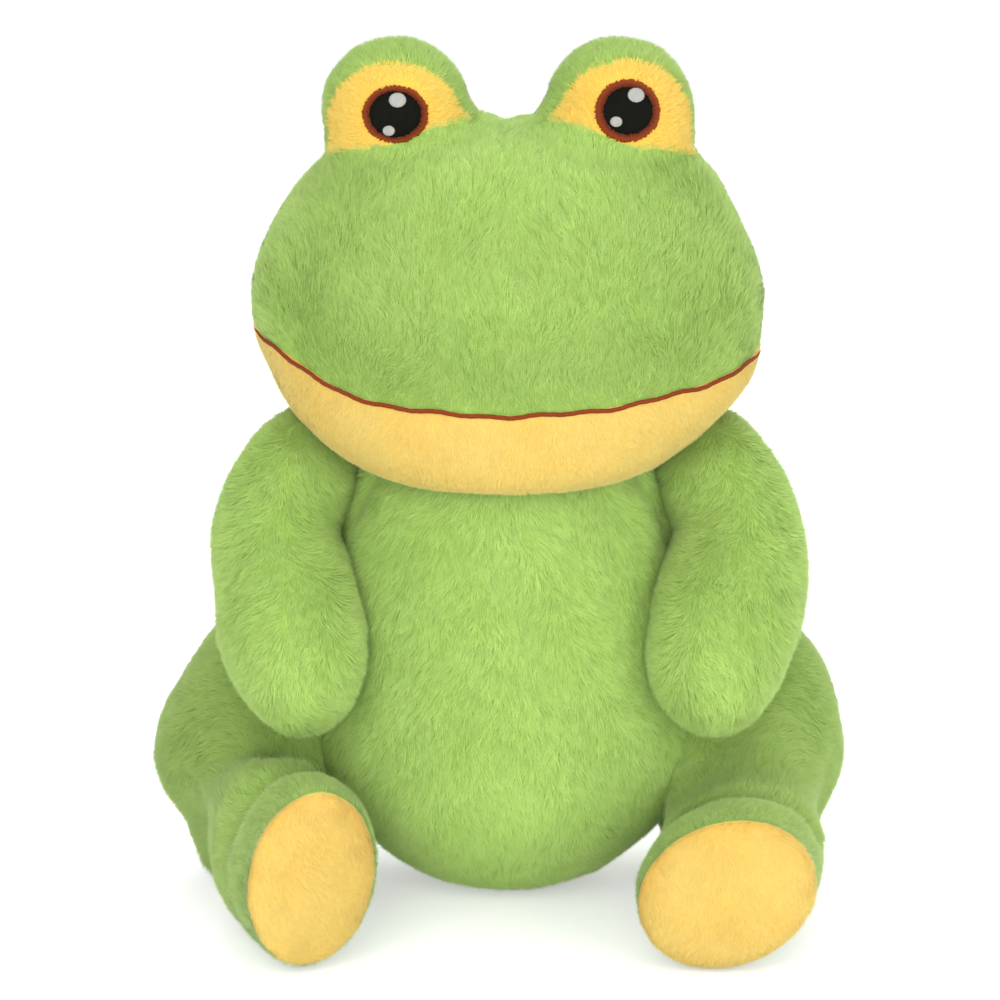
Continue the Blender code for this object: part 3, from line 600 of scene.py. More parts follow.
def thread(name, dark, light, roughness, shine, inner=1.0):
    """Satin stitch: fine threads side by side, with a soft gloss, and painted shade where they
    start when inner is below 1.
    """
    material, tree, shader = new_material(
        name, Roughness=roughness, Specular_IOR_Level=shine)
    where = add_node(tree, "ShaderNodeUVMap", uv_map="thread")
    wave = add_node(tree, "ShaderNodeTexWave", Scale=THREAD_SCALE, Distortion=0.6, Detail=2.0)
    wave.inputs["Detail Scale"].default_value = 1.5
    link(tree, where, "UV", wave, "Vector")
    noise = add_node(tree, "ShaderNodeTexNoise", Scale=60.0, Detail=2.0)
    link(tree, where, "UV", noise, "Vector")
    colours = ramp(tree, [(0.05, dark), (0.75, light)], wave)
    patches = ramp(tree, [(0.3, (0.85,) * 3), (0.7, (1.0,) * 3)], noise)
    colour = multiply(tree, colours.outputs["Color"], patches)
    # painted shade over the inner edge of the stitches
    if inner < 1.0:
        along = add_node(tree, "ShaderNodeSeparateXYZ")
        link(tree, where, "UV", along, "Vector")
        painted_inner_shade = ramp(tree, [(0.10, (inner,) * 3), (0.60, (1.0,) * 3)], along, "Y")
        colour = multiply(tree, colour, painted_inner_shade)
    tree.links.new(colour, shader.inputs["Base Color"])
    bump = add_node(tree, "ShaderNodeBump", Strength=0.5, Distance=THREAD_BUMP)
    link(tree, wave, "Fac", bump, "Height")
    link(tree, bump, "Normal", shader, "Normal")
    return material


def fibre():
    """Loose white filling."""
    material, tree, shader = new_material("fibre_fill", Roughness=1.0, Sheen_Weight=0.2)
    noise = add_node(tree, "ShaderNodeTexNoise", Scale=900.0, Detail=5.0, Distortion=1.5)
    colours = ramp(tree, [(0.35, (0.66, 0.65, 0.62)), (0.65, (0.88, 0.87, 0.84))], noise)
    link(tree, colours, "Color", shader, "Base Color")
    return material


# Finishes: the record's material slot, and the material
# the plush ramps run from the roots, drawn darker as painted shade deep in the pile, to the tips
GREEN = "plush_green", plush(
    "green_plush",
    [(0.0, (0.262, 0.425, 0.067)), (0.45, (0.408, 0.612, 0.140)), (1.0, (0.510, 0.722, 0.206))],
    ((0.94, 0.96, 0.90), (1.04, 1.02, 1.07)), (0.79, 1.18))
YELLOW = "plush_yellow", plush(
    "yellow_plush",
    [(0.0, (0.74, 0.46, 0.090)), (0.5, (0.81, 0.605, 0.158)), (1.0, (0.845, 0.67, 0.225))],
    ((1.0, 0.96, 0.86), (1.0, 1.02, 1.08)), (0.92, 1.06))
GOLD = "plush_yellow", plush(
    "golden_plush",
    [(0.0, (0.79, 0.41, 0.045)), (0.5, (0.885, 0.640, 0.115)), (1.0, (0.92, 0.745, 0.205))],
    ((1.0, 0.95, 0.86), (1.0, 1.02, 1.08)), (0.91, 1.06))
RUST = "thread_rust", thread(
    "rust_thread", (0.15, 0.018, 0.002), (0.30, 0.046, 0.005), 0.62, 0.20)
# the ring's inner edge is painted darker, as painted shade
RING = "thread_rust", thread(
    "ring_thread", (0.16, 0.020, 0.003), (0.32, 0.055, 0.008), 0.62, 0.20, inner=0.42)
BLACK = "thread_black", thread(
    "black_thread", (0.001, 0.001, 0.001), (0.009, 0.009, 0.006), 0.65, 0.05)
GREY = "thread_grey", thread("grey_thread", (0.24, 0.235, 0.22), (0.52, 0.51, 0.47), 0.55, 0.20)
FIBRE = "fibre_fill", fibre()


# ---------------------------------------------------------------- the stuffed forms
def rings_by_height(spec, base):
    rows = []
    for high, wide, deep, shift in spec["profile"]:
        centre = Vector((0.0, shift * spec["depth"] / 2, base + high * spec["height"]))
        rows.append(ring(centre, X_AXIS, Y_AXIS, wide * spec["width"] / 2,
                         deep * spec["depth"] / 2, spec["points"]))
    return rows


def arm_rings(side):
    shoulder = Vector((side * SHOULDER[0], SHOULDER[1], SHOULDER[2]))
    reach = ARM_REACH - SHOULDER[0]
    rows = []
    for out, ahead, down, tilt, size in ARM_PATH:
        centre = shoulder + Vector((side * out * reach, -ahead * ARM_FORWARD, -down * ARM_DROP))
        angle = math.radians(tilt)
        lean = math.atan2(ARM_FORWARD, ARM_DROP) * min(1.0, down + ARM_LEAN_START)
        along = Vector((side * math.cos(angle), -math.sin(angle) * math.sin(lean),
                        -math.sin(angle) * math.cos(lean)))
        across = Vector((0.0, math.cos(lean), -math.sin(lean)))
        up = along.cross(across).normalized()
        rows.append(ring(centre, across, up, size * ARM_RADIUS, size * ARM_RADIUS, 8))
    out, ahead, down = ARM_TIP
    tip = shoulder + Vector((side * out * reach, -ahead * ARM_FORWARD, -down * ARM_DROP))
    return rows, shoulder, tip


def leg_rings(side_name):
    side = SIDES[side_name]
    rows = []
    for out, ahead, high, yaw, wide, tall in THIGH_PATH:
        angle = math.radians(yaw)
        along = Vector((side * math.cos(angle), -math.sin(angle), 0.0))
        forward = ahead * THIGH_RADIUS
        x = HIP[0] + out * (KNEE_OUT[side_name] - HIP[0])
        centre = Vector((side * x, HIP[1] - forward, high * HIP[2]))
        rows.append(ring(centre, UP.cross(along), UP, wide * THIGH_RADIUS, tall * THIGH_RADIUS, 8))
    roll = FOOT_ROLL[side_name]
    tilt = math.radians(roll)
    middle = math.hypot(FOOT_LONG * math.sin(tilt), FOOT_SHORT * math.cos(tilt))
    run = LEG_REACH[side_name] - forward
    for onward, ahead, turn, size in FOOT_PATH:
        angle = math.radians(90.0 + turn * TOE_IN[side_name])
        along = Vector((side * math.cos(angle), -math.sin(angle), 0.0))
        x = KNEE_OUT[side_name] + onward * (FOOT_OUT[side_name] - KNEE_OUT[side_name])
        centre = Vector((side * x, HIP[1] - forward - ahead * run, middle))
        rows.append(ring(centre, UP.cross(along), UP, size * FOOT_LONG, size * FOOT_SHORT, 8,
                         roll))
    sole = centre + along * (1.0 - ahead) * run
    return rows, Vector((side * HIP[0], HIP[1], HIP[2])), sole, along


def inset(places, faces, depth):
    """The cloth under the pile: the outer surface moved inwards."""
    return places - vertex_normals(places, faces) * np.reshape(depth, (-1, 1))


def hollowed(places, faces, side, spots):
    """A form drawn in round each spot."""
    normals = vertex_normals(places, faces)
    for (out, back, high), width, deep in spots:
        away = (places - np.array((side * out, back, high))) / np.array(width)
        places = places - normals * (deep * np.exp(-(away ** 2).sum(1)))[:, None]
    return places


def pinch(places, normals, distance, depth, width=SEAM_WIDTH):
    """A valley along distance 0."""
    return places - normals * (depth * bell(distance, width))[:, None]


def eye_centre(side):
    top = HEAD_BASE + HEAD["height"]
    return np.array((side * EYE_SPACING, -EYE_FORWARD, top + EYE_RISE))


def aimed(side, out, up):
    """The direction ahead, turned outwards and up."""
    return (side * math.sin(out) * math.cos(up), -math.cos(out) * math.cos(up), math.sin(up))


def gaze(side_name, extra_out=0.0, extra_up=0.0):
    return Vector(aimed(SIDES[side_name], math.radians(LOOK_OUT[side_name]) + extra_out,
                        math.radians(LOOK_UP[side_name]) + extra_up))


slope = math.radians(MOUTH_SLOPE)
MOUTH_POINT = (0.0, 0.0, MOUTH_HEIGHT)
MOUTH_NORMAL = (0.0, -math.sin(slope), math.cos(slope))
mouth_plane = (MOUTH_POINT, MOUTH_NORMAL)


def mouth_bend(x):
    """How far the mouth line runs over its plane: one corner curls up, the middle dips."""
    return MOUTH_CURL * smoothstep(-0.050, -0.079, x) \
        - MOUTH_DIP * smoothstep(0.060, 0.015, np.abs(x))


def over_mouth_line(places):
    flat = places.copy()
    flat[:, 2] -= mouth_bend(places[:, 0])
    return beyond(flat, *mouth_plane)


# which way the eye patches face, for the pile of the hoods
PATCH_FACING = unit(np.array((0.0, -1.0, -0.25)))
PATCH_EDGE = EYE_RADIUS * math.cos(math.radians(PATCH_REACH))


def patch_plane(side):
    """The plane of the seam between the eye patch and the hood."""
    name = "left" if side > 0 else "right"
    facing = np.array(
        aimed(side, math.radians(PATCH_TURN[name]), -math.radians(PATCH_DROOP[name])))
    return tuple(eye_centre(side) + facing * PATCH_EDGE), tuple(facing)


def before_patch_plane(places):
    return np.where(places[:, 0] > 0, beyond(places, *patch_plane(1.0)),
                    beyond(places, *patch_plane(-1.0)))


def patch_low_planes(side):
    """The two planes that the eye patch ends at below, each a (point, normal)."""
    rise = math.radians(VIEW_RISE)
    up = np.array((0.0, math.sin(rise), math.cos(rise)))
    out = np.array((side, 0.0, 0.0))
    point = eye_centre(side) + out * PATCH_LOW[0] + up * PATCH_LOW[1]
    planes = []
    for slope in PATCH_LOW_SLOPES:
        tilt = math.radians(slope)
        planes.append((tuple(point), tuple(out * math.sin(tilt) + up * math.cos(tilt))))
    return planes


def over_patch_low(places):
    """How far places lie over the lower edge of the eye patch on their own side."""
    over = []
    for side in (1.0, -1.0):
        over.append(np.min([beyond(places, *plane) for plane in patch_low_planes(side)], axis=0))
    return np.where(places[:, 0] > 0, over[0], over[1])


# Torso: flat where it sits, a dart under the belly
torso, torso_faces = smooth_form(
    rings_by_height(TORSO, -TORSO_SETTLE), (0, 0, -TORSO_SETTLE), (0, 0, TORSO["height"]),
    FORM_LEVELS)
lean = math.radians(CHEST_SEAM_LEAN)
chest_plane = ((0.0, -CHEST_SEAM_FORWARD, TORSO["height"] / 2),
               (0.0, -math.cos(lean), -math.sin(lean)))
middle_plane = ((0.0, 0.0, 0.0), (1.0, 0.0, 0.0))
torso, torso_faces = cut_along(torso, torso_faces, [chest_plane, middle_plane])
torso = inset(torso, torso_faces, GREEN_DEPTH)
torso_normals = vertex_normals(torso, torso_faces)
torso = pinch(torso, torso_normals, beyond(torso, *chest_plane), CHEST_SEAM_DEPTH)
behind = smoothstep(0.0, 0.01, torso[:, 1])
torso = pinch(torso, torso_normals, np.where(behind > 0, torso[:, 0] / np.maximum(behind, 1e-3),
                                             1.0), BACK_SEAM_DEPTH)
belly = np.exp(-((torso[:, 2] - BELLY_PLACE[1]) / BELLY_REACH) ** 2
               - ((torso[:, 1] - BELLY_PLACE[0]) / BELLY_REACH) ** 2)
torso[:, 0] += BELLY_SWELL * belly * np.clip(torso[:, 0] / 0.045, -1, 1)
dart = smoothstep(0.050, 0.012, torso[:, 2]) * smoothstep(-0.030, -0.050, torso[:, 1])
torso = pinch(torso, torso_normals, torso[:, 0] + 0.003, DART_DEPTH * dart, DART_WIDTH)
torso[:, 2] = np.maximum(torso[:, 2], FLOOR_LEVEL)
torso_normals = vertex_normals(torso, torso_faces)
torso_tree = tree_of(torso, torso_faces)

# Head and eye mounds as one skin, with soft hollows where they meet
head_outer, head_outer_faces = smooth_form(
    rings_by_height(HEAD, HEAD_BASE),
    (0, HEAD_END_SHIFTS[0] * HEAD["depth"] / 2, HEAD_BASE),
    (0, HEAD_END_SHIFTS[1] * HEAD["depth"] / 2, HEAD_BASE + HEAD["height"]), HEAD_LEVELS)
head_outer_tree = tree_of(head_outer, head_outer_faces)
joined = working_mesh(head_outer, head_outer_faces)
for side in (1.0, -1.0):
    bmesh.ops.create_uvsphere(joined, u_segments=48, v_segments=32, radius=EYE_RADIUS,
                              matrix=Matrix.Translation(eye_centre(side)))
head, head_faces = settled(joined, "REMESH", mode="VOXEL", voxel_size=HEAD_VOXEL)
over_head = height_over(head_outer_tree, head, SEARCH_REACH)
over_eye = np.min([lengths(head - eye_centre(s)) - EYE_RADIUS for s in (1, -1)], axis=0)
joint = bell(np.abs(over_head) + np.abs(over_eye), 0.0075)
head = relax(head, head_faces, 6, 0.5)
head = relax(head, head_faces, 60, 0.6 * joint)
head_side_plane = ((0.0, HEAD_SIDE_SEAM, 0.0), (0.0, -1.0, 0.0))
patch_planes = [patch_plane(1.0), patch_plane(-1.0)]
head[:, 2] -= mouth_bend(head[:, 0])
head, head_faces = cut_along(head, head_faces, [mouth_plane])
head[:, 2] += mouth_bend(head[:, 0])
head, head_faces = cut_along(
    head, head_faces, [head_side_plane, middle_plane] + patch_planes
    + patch_low_planes(1.0) + patch_low_planes(-1.0))
over_mouth = over_mouth_line(head)
over_head = height_over(head_outer_tree, head, SEARCH_REACH)
in_front = beyond(head, *head_side_plane) > 0
eye_disc = np.zeros(len(head))
for side_name, side in SIDES.items():
    away = lengths(head - (eye_centre(side) + np.array(gaze(side_name)) * EYE_RADIUS))
    eye_disc = np.maximum(eye_disc, smoothstep(IRIS + 0.0035, IRIS - 0.0005, away))
before_patch = before_patch_plane(head)
patch_low = over_patch_low(head)
in_patch = (before_patch > -1e-5) & (patch_low > -1e-5) & (over_head > -0.0010)
in_hood = (before_patch <= 0) & (over_head > 0.0030)
jaw = smoothstep(0.0005, -0.0025, over_mouth) * in_front
near_mouth = bell(over_mouth, 0.0040) * in_front
depth = GREEN_DEPTH + (YELLOW_DEPTH - GREEN_DEPTH) * np.maximum(jaw, in_patch)
top_of_hood = smoothstep(0.35, 0.85, unit(head - np.where(
    head[:, :1] > 0, eye_centre(1.0), eye_centre(-1.0)))[:, 2])
hood_depth = HOOD_SIDE_DEPTH + (HOOD_DEPTH - HOOD_SIDE_DEPTH) * top_of_hood
depth = depth + (hood_depth - depth) * in_hood
depth = depth + (SEAM_CLOTH_DEPTH - depth) * near_mouth
depth = depth + (STITCHED_DEPTH - depth) * eye_disc
depth = np.maximum(depth, STITCHED_DEPTH)
depth = relax(np.repeat(depth[:, None], 3, 1), head_faces, 4, 0.5)[:, 0]
head = inset(head, head_faces, depth)
for side_name, side in SIDES.items():
    head = hollowed(head, head_faces, side, HOLLOWS["head_" + side_name])
for side_name, side in SIDES.items():
    # the cloth lies flat on the ball under the stitched eye
    spoke = head - eye_centre(side)
    far = lengths(spoke)
    away = lengths(spoke - np.array(gaze(side_name)) * EYE_RADIUS)
    over = np.maximum(far - (EYE_RADIUS - 0.0003), 0) * smoothstep(IRIS + 0.0030, IRIS, away)
    head -= spoke * (over / far)[:, None]
head_normals = vertex_normals(head, head_faces)
head = pinch(head, head_normals, beyond(head, *head_side_plane), HEAD_SIDE_DEPTH)
back = smoothstep(0.004, 0.014, head[:, 1])
head = pinch(head, head_normals, np.where(back > 0, head[:, 0] / np.maximum(back, 1e-3), 1.0),
             HEAD_BACK_DEPTH)
head_normals = vertex_normals(head, head_faces)

# The head keeps clear of the ball shaped top of the torso
from_pivot = head - np.array((0.0, 0.0, NECK_PIVOT))
reach = lengths(from_pivot)
sunk = reach < NECK_BALL
head[sunk] = (np.array((0.0, 0.0, NECK_PIVOT)) + from_pivot[sunk] / reach[sunk, None]
              * NECK_BALL)
head_open = (reach < NECK_BALL - 0.004)[head_faces].all(1)
head_tree = tree_of(head, head_faces)

limbs = {}
for side_name, side in SIDES.items():
    rows, root, tip = arm_rings(side)
    places, faces = smooth_form(rows, root, tip, FORM_LEVELS)
    seam = ((root.x + side * ARM_SEAM * (ARM_REACH - SHOULDER[0]), 0, 0), (side, 0, 0))
    places, faces = cut_along(places, faces, [seam])
    places = inset(places, faces, GREEN_DEPTH)
    places = hollowed(places, faces, side, HOLLOWS["arm_" + side_name])
    limbs["arm_" + side_name] = dict(places=places, faces=faces, seam=seam, tip=tip)
    rows, root, sole, facing = leg_rings(side_name)
    places, faces = smooth_form(rows, root, sole, FORM_LEVELS)
    edge = sole - facing * SOLE_INSET[side_name] * FOOT_SHORT
    knee = Vector((side * KNEE_OUT[side_name] * LEG_SEAM, HIP[1], 0.0))
    run = Vector((edge.x, edge.y, 0.0)) - knee
    outward = run.cross(UP).normalized()
    if outward.x * side < 0:
        outward = -outward
    lean = facing + Vector((side * SOLE_LEAN[side_name][0], 0.0, -SOLE_LEAN[side_name][1]))
    sole_plane = (tuple(edge), tuple(lean.normalized()))
    seam = (tuple(knee), tuple(outward))
    places, faces = cut_along(places, faces, [sole_plane, seam])
    past = beyond(places, *sole_plane)
    places = inset(places, faces, GREEN_DEPTH + (YELLOW_DEPTH - GREEN_DEPTH)
                   * smoothstep(-0.004, 0.003, past))
    places = hollowed(places, faces, side, HOLLOWS["leg_" + side_name])
    form_normals = vertex_normals(places, faces)
    behind_sole = (places - np.array(edge)) @ np.array(facing)
    crease = bell(behind_sole + ANKLE_BACK, ANKLE_WIDTH)
    places = places - form_normals * (ANKLE_DEPTH * crease
                                      * smoothstep(-0.2, 0.5, form_normals[:, 2]))[:, None]
    places[:, 2] = np.maximum(places[:, 2], FLOOR_LEVEL)
    limbs["leg_" + side_name] = dict(places=places, faces=faces, seam=seam, sole=sole_plane,
                                     facing=facing)


def inside(tree, place):
    """Whether a place is inside a closed surface, by how often two rays leave it."""
    for way in (Vector((0.31, 0.17, 0.935)), Vector((-0.62, 0.41, -0.67))):
        way, count = way.normalized(), 0
        hit = tree.ray_cast(Vector(place), way)[0]
        while hit is not None and count < 9:
            count += 1
            hit = tree.ray_cast(hit + way * 1e-5, way)[0]
        if count % 2 == 0:
            return False
    return True


JOINTS = {joint["name"]: joint for joint in frame["record"]["behaviour"]["joints"]}


def turned(name, degrees):
    """The matrix of a joint at an angle."""
    pivot = Matrix.Translation(JOINTS[name]["pos_m"])
    turn = Matrix.Rotation(math.radians(degrees), 4, Vector(JOINTS[name]["axis"]))
    return pivot @ turn @ pivot.inverted()


def press(form, tree, gap, deep=1.0, there=None, chosen=None):
    """Press a form's cloth onto the surface that it lies against, and note what is deep in it.

    there: where the form is against the surface at some pose, for the room of that pose.
    chosen: the points to look at. A gap below 0 is how far the cloth may go in.
    """
    there = Matrix.Identity(4) if there is None else there
    back = there.inverted()
    for i in range(len(form["places"])) if chosen is None else chosen:
        place = there @ Vector(form["places"][i])
        hit, _, _, distance = tree.find_nearest(place, SEARCH_REACH)
        if hit is None:
            continue
        within = inside(tree, place)
        if within or distance < gap:
            if within and distance < -gap:
                continue
            outward = (place - hit).normalized() * (-1 if within else 1)
            form["places"][i] = back @ (hit + outward * gap)
            form["deep"][i] = max(form["deep"][i], distance * within - deep)


def close_to(form, tree, reach):
    return [i for i, place in enumerate(form["places"].tolist())
            if tree.find_nearest(place, reach)[0] is not None]


for form in limbs.values():
    form["deep"] = np.full(len(form["places"]), -1.0)
    press(form, torso_tree, TORSO_GAP, TORSO_DEEP)
for side_name in SIDES:
    arm, leg = limbs["arm_" + side_name], limbs["leg_" + side_name]
    # room for the leg's lift beside the belly and under the arm
    lift = "leg_%s_lift" % side_name
    raised = [turned(lift, share * JOINTS[lift]["range_deg"][1]) for share in (0.5, 1.0)]
    near = close_to(leg, torso_tree, 0.012)
    for there in raised:
        press(leg, torso_tree, TORSO_GAP, there=there, chosen=near)
    leg["tree"] = tree_of(leg["places"], leg["faces"])
    press(arm, leg["tree"], LEG_GAP, NEIGHBOUR_DEEP)
    near = close_to(arm, leg["tree"], 0.020)
    for there in raised:
        press(arm, leg["tree"], RAISED_LEG_GAP, there=there.inverted(), chosen=near)
    press(arm, head_tree, HEAD_GAP, NEIGHBOUR_DEEP)
    # room for what the head turns and nods through, less what the soft pieces give
    near = close_to(arm, head_tree, 0.030)
    before = arm["places"].copy()
    heads = [turned(name, degrees).inverted() for name in ("neck_turn", "head_nod")
             for degrees in JOINTS[name]["range_deg"]]
    lift = "arm_%s_lift" % side_name
    for there in heads + [turned(lift, JOINTS[lift]["range_deg"][1])]:
        press(arm, head_tree, -SOFT_GIVE, there=there, chosen=near)
    moved = lengths(arm["places"] - before) > 1e-5
    soft = relax(moved[:, None] * np.ones(3), arm["faces"], 6, 0.5)[:, 0]
    arm["places"] = relax(arm["places"], arm["faces"], 12, 0.5 * np.clip(3 * soft, 0, 1))
    arm["tree"] = tree_of(arm["places"], arm["faces"])
for form in limbs.values():
    corners = form["places"][form["faces"]]
    longest = lengths(corners - np.roll(corners, 1, axis=1)).max(1)
    form["open"] = (form["deep"] > 0)[form["faces"]].all(1) | (longest > LONGEST_EDGE)
    form["normals"] = vertex_normals(form["places"], form["faces"])


# ---------------------------------------------------------------- how the pile lies
def values_for(places, trees, keep=1.0, size=1.0):
    """What grow() needs: the pile fits beside its neighbours, is bare with no room, and has painted
    shade where a neighbour is near.
    """
    near = np.full(len(places), NEAR_REACH)
    for tree in trees:
        near = np.minimum(near, np.abs(height_over(tree, places, NEAR_REACH)))
    room = np.where(near >= NEAR_REACH, 1.0, near * 0.55)
    room = np.minimum(room, np.maximum(places[:, 2] - FLOOR_ROOM, 0.0) + GREEN_DEPTH * 0.25)
    # painted shade, up to 0.35, on the pile and cloth where a neighbouring piece is near
    return dict(keep=np.where(room < 0.0003, 0.0, keep), size=np.broadcast_to(size, len(places)),
                room=np.maximum(room, 0.0002), painted_shading=0.35 * (1 - smoothstep(0.0005, 0.012, near)))


def swept(flow, n, strength=1.5):
    """A flow that also runs from before and from behind to a ridge along the crest."""
    edge = crest_side(n)
    flow = flow.copy()
    flow[:, 1] -= strength * smoothstep(0.80, 0.35, np.abs(edge)) * np.clip(edge / 0.08, -1, 1)
    return flow


def comb_torso(p, n):
    flow = np.stack([5.0 * p[:, 0], np.where(n[:, 2] < -0.6, 1.5, 0.0), np.full(len(p), -1.0)], 1)
    return swept(flow, n, 1.2)


def comb_head(p, n):
    return swept(np.stack([-2.0 * p[:, 0], np.zeros(len(p)), np.full(len(p), 1.0)], 1), n)


def comb_jaw(p, n):
    return np.stack([4.0 * p[:, 0], np.full(len(p), 0.2), np.full(len(p), -1.0)], 1)


def comb_hood(p, n):
    side = np.where(p[:, 0] > 0, 1.0, -1.0)[:, None]
    centre = eye_centre(1.0)[None] * np.concatenate([side, np.ones((len(p), 2))], 1)
    away = p - centre
    away = away - PATCH_FACING * (away @ PATCH_FACING)[:, None]
    back = smoothstep(0.0, 0.25, crest_side(n))[:, None]
    ahead = unit(away) * 0.35 - PATCH_FACING + np.array((0, 0, -0.15))
    return ahead * (1 - back) + swept(np.tile((0.0, 0.0, -1.0), (len(p), 1)), n) * back


def comb_arm(side, tip):
    """Down the arm and under its end."""
    def comb(p, n):
        end = smoothstep(0.030, 0.008, lengths(p - np.array(tip)))[:, None]
        return swept(np.array((side * 0.05, 0.05, -1.0)) + end * np.array((0.0, 0.8, 0.0)), n, 1.3)
    return comb


def comb_leg(side, facing):
    """Down the sides of the thigh, up over its top and back from the foot."""
    def comb(p, n):
        ahead = smoothstep(-0.045, -0.075, p[:, 1])[:, None]
        upper = smoothstep(0.4, 0.9, n[:, 2])[:, None]
        down = np.array((side * 0.15, 0.10, -1.0)) * (1 - upper) + np.array((side, 0, 0)) * upper
        thigh = swept(down, n)
        return thigh * (1 - ahead) - np.array(facing) * ahead
    return comb


def comb_sole(p, n):
    return np.tile((0.15, 0.0, -1.0), (len(p), 1))


def panel(name, body, nodes, finish, form, mask, values, comb, pile, seed, swirl=0.25):
    """A piece of cloth with its pile, from the faces of a form that a mask picks."""
    places, faces, normals = form["places"], form["faces"][mask], form["normals"]
    fur = grow(places, faces, normals, values, comb, pile, seed, swirl)
    make_piece(name, body, nodes, finish, places, faces, normals, fur, values["painted_shading"])


# Torso
arm_trees = [limbs["arm_left"]["tree"], limbs["arm_right"]["tree"]]
leg_trees = [limbs["leg_left"]["tree"], limbs["leg_right"]["tree"]]
form = dict(places=torso, faces=torso_faces, normals=torso_normals)
centres = torso[torso_faces].mean(1)
front = beyond(centres, *chest_plane) > 0
values = values_for(torso, arm_trees + leg_trees + [head_tree])
# painted light: the torso's pile is drawn lighter low down and at its sides, keeping little of the
# painted shade by its neighbours
painted_light_low = 0.32 * smoothstep(0.075, 0.030, torso[:, 2])
aside = 0.18 * smoothstep(0.025, 0.050, np.abs(torso[:, 0]))
values["painted_shading"] = 0.15 * values["painted_shading"] - np.maximum(painted_light_low, aside)
from_neck = lengths(torso - np.array((0, 0, NECK_PIVOT + 0.05)))
values["keep"] = np.where(from_neck < 0.030, 0.0, values["keep"])
parts = [
    ("torso_front", ["torso_front_panel", "torso_stuffing"], front),
    ("torso_back_left", ["torso_back_panel_left"], ~front & (centres[:, 0] > 0)),
    ("torso_back_right", ["torso_back_panel_right"], ~front & (centres[:, 0] < 0)),
]
for i, (name, nodes, mask) in enumerate(parts):
    panel(name, "torso", nodes, GREEN, form, mask, values, comb_torso, PILE, TORSO_SEED + i)

# Head
form = dict(places=head, faces=head_faces, normals=head_normals)
centres = head[head_faces].mean(1)
face_over_mouth = over_mouth_line(centres)
face_front = beyond(centres, *head_side_plane) > 0
face_over_head = over_head[head_faces].mean(1)
face_over_low = over_patch_low(centres)
face_before = before_patch_plane(centres) > 0
face_patch = face_before & (face_over_low > 0) & (face_over_head > -0.0010) \
    & (np.abs(centres[:, 0]) < EYE_SPACING + EYE_RADIUS) & (np.abs(centres[:, 0]) > 0.010)
face_mound = ~face_before & (face_over_head > 0.0022)
face_plain = ~face_mound & ~face_patch
size = 1 - 0.55 * bell(over_mouth, 0.0045) * in_front
size = size * (1 - 0.65 * eye_disc)
size = size * (1 - 0.45 * bell(patch_low, 0.006) * (before_patch > 0))
keep = np.where(eye_disc > 0.9, 0.0, 1.0)
values = values_for(head, [torso_tree] + arm_trees, keep, size)
values["keep"] = np.where(reach < NECK_BALL + 0.001, 0.0, values["keep"])
# painted shade over the face just above the mouth, deeper towards the mouth line
face_nap = (over_mouth > 0) * in_front * smoothstep(0.074, 0.050, over_mouth)
muzzle_painted_shade = 0.16 + 0.16 * smoothstep(0.035, 0.0, over_mouth)
values["painted_shading"] = np.maximum(
    values["painted_shading"], face_nap * muzzle_painted_shade * smoothstep(0.080, 0.060, np.abs(head[:, 0])))
nap_values = dict(values, size=1 - 0.35 * bell(over_mouth, 0.002) * in_front - 0.4 * eye_disc)
# the hoods' pile is drawn darker by a further 0.20 of painted shade
hood_values = dict(values, size=values["size"] * 0.75, painted_shading=values["painted_shading"] + 0.20)
parts = [
    ("head_front", ["head_front_panel", "head_stuffing"],
     face_front & (face_over_mouth > 0) & face_plain, GREEN, comb_head, PILE, values),
    ("jaw", ["jaw_panel"], face_front & (face_over_mouth <= 0), YELLOW, comb_jaw, NAP,
     nap_values),
    ("head_back_left", ["head_back_panel_left"],
     ~face_front & face_plain & (centres[:, 0] > 0), GREEN, comb_head, PILE, values),
    ("head_back_right", ["head_back_panel_right"],
     ~face_front & face_plain & (centres[:, 0] <= 0), GREEN, comb_head, PILE, values),
]
for side_name, side in SIDES.items():
    here = centres[:, 0] * side > 0
    parts.append(("eye_hood_%s_skin" % side_name,
                  ["eye_hood_" + side_name, "eye_stuffing_" + side_name],
                  face_mound & ~face_patch & here, GREEN, comb_hood, PILE, hood_values))
    parts.append(("eye_patch_%s_skin" % side_name, ["eye_patch_" + side_name],
                  face_patch & here, GOLD, comb_hood, NAP, nap_values))
for i, (name, nodes, mask, finish, comb, pile, value) in enumerate(parts):
    panel(name, "head", nodes, finish, form, mask & ~head_open, value, comb, pile, HEAD_SEED + i)

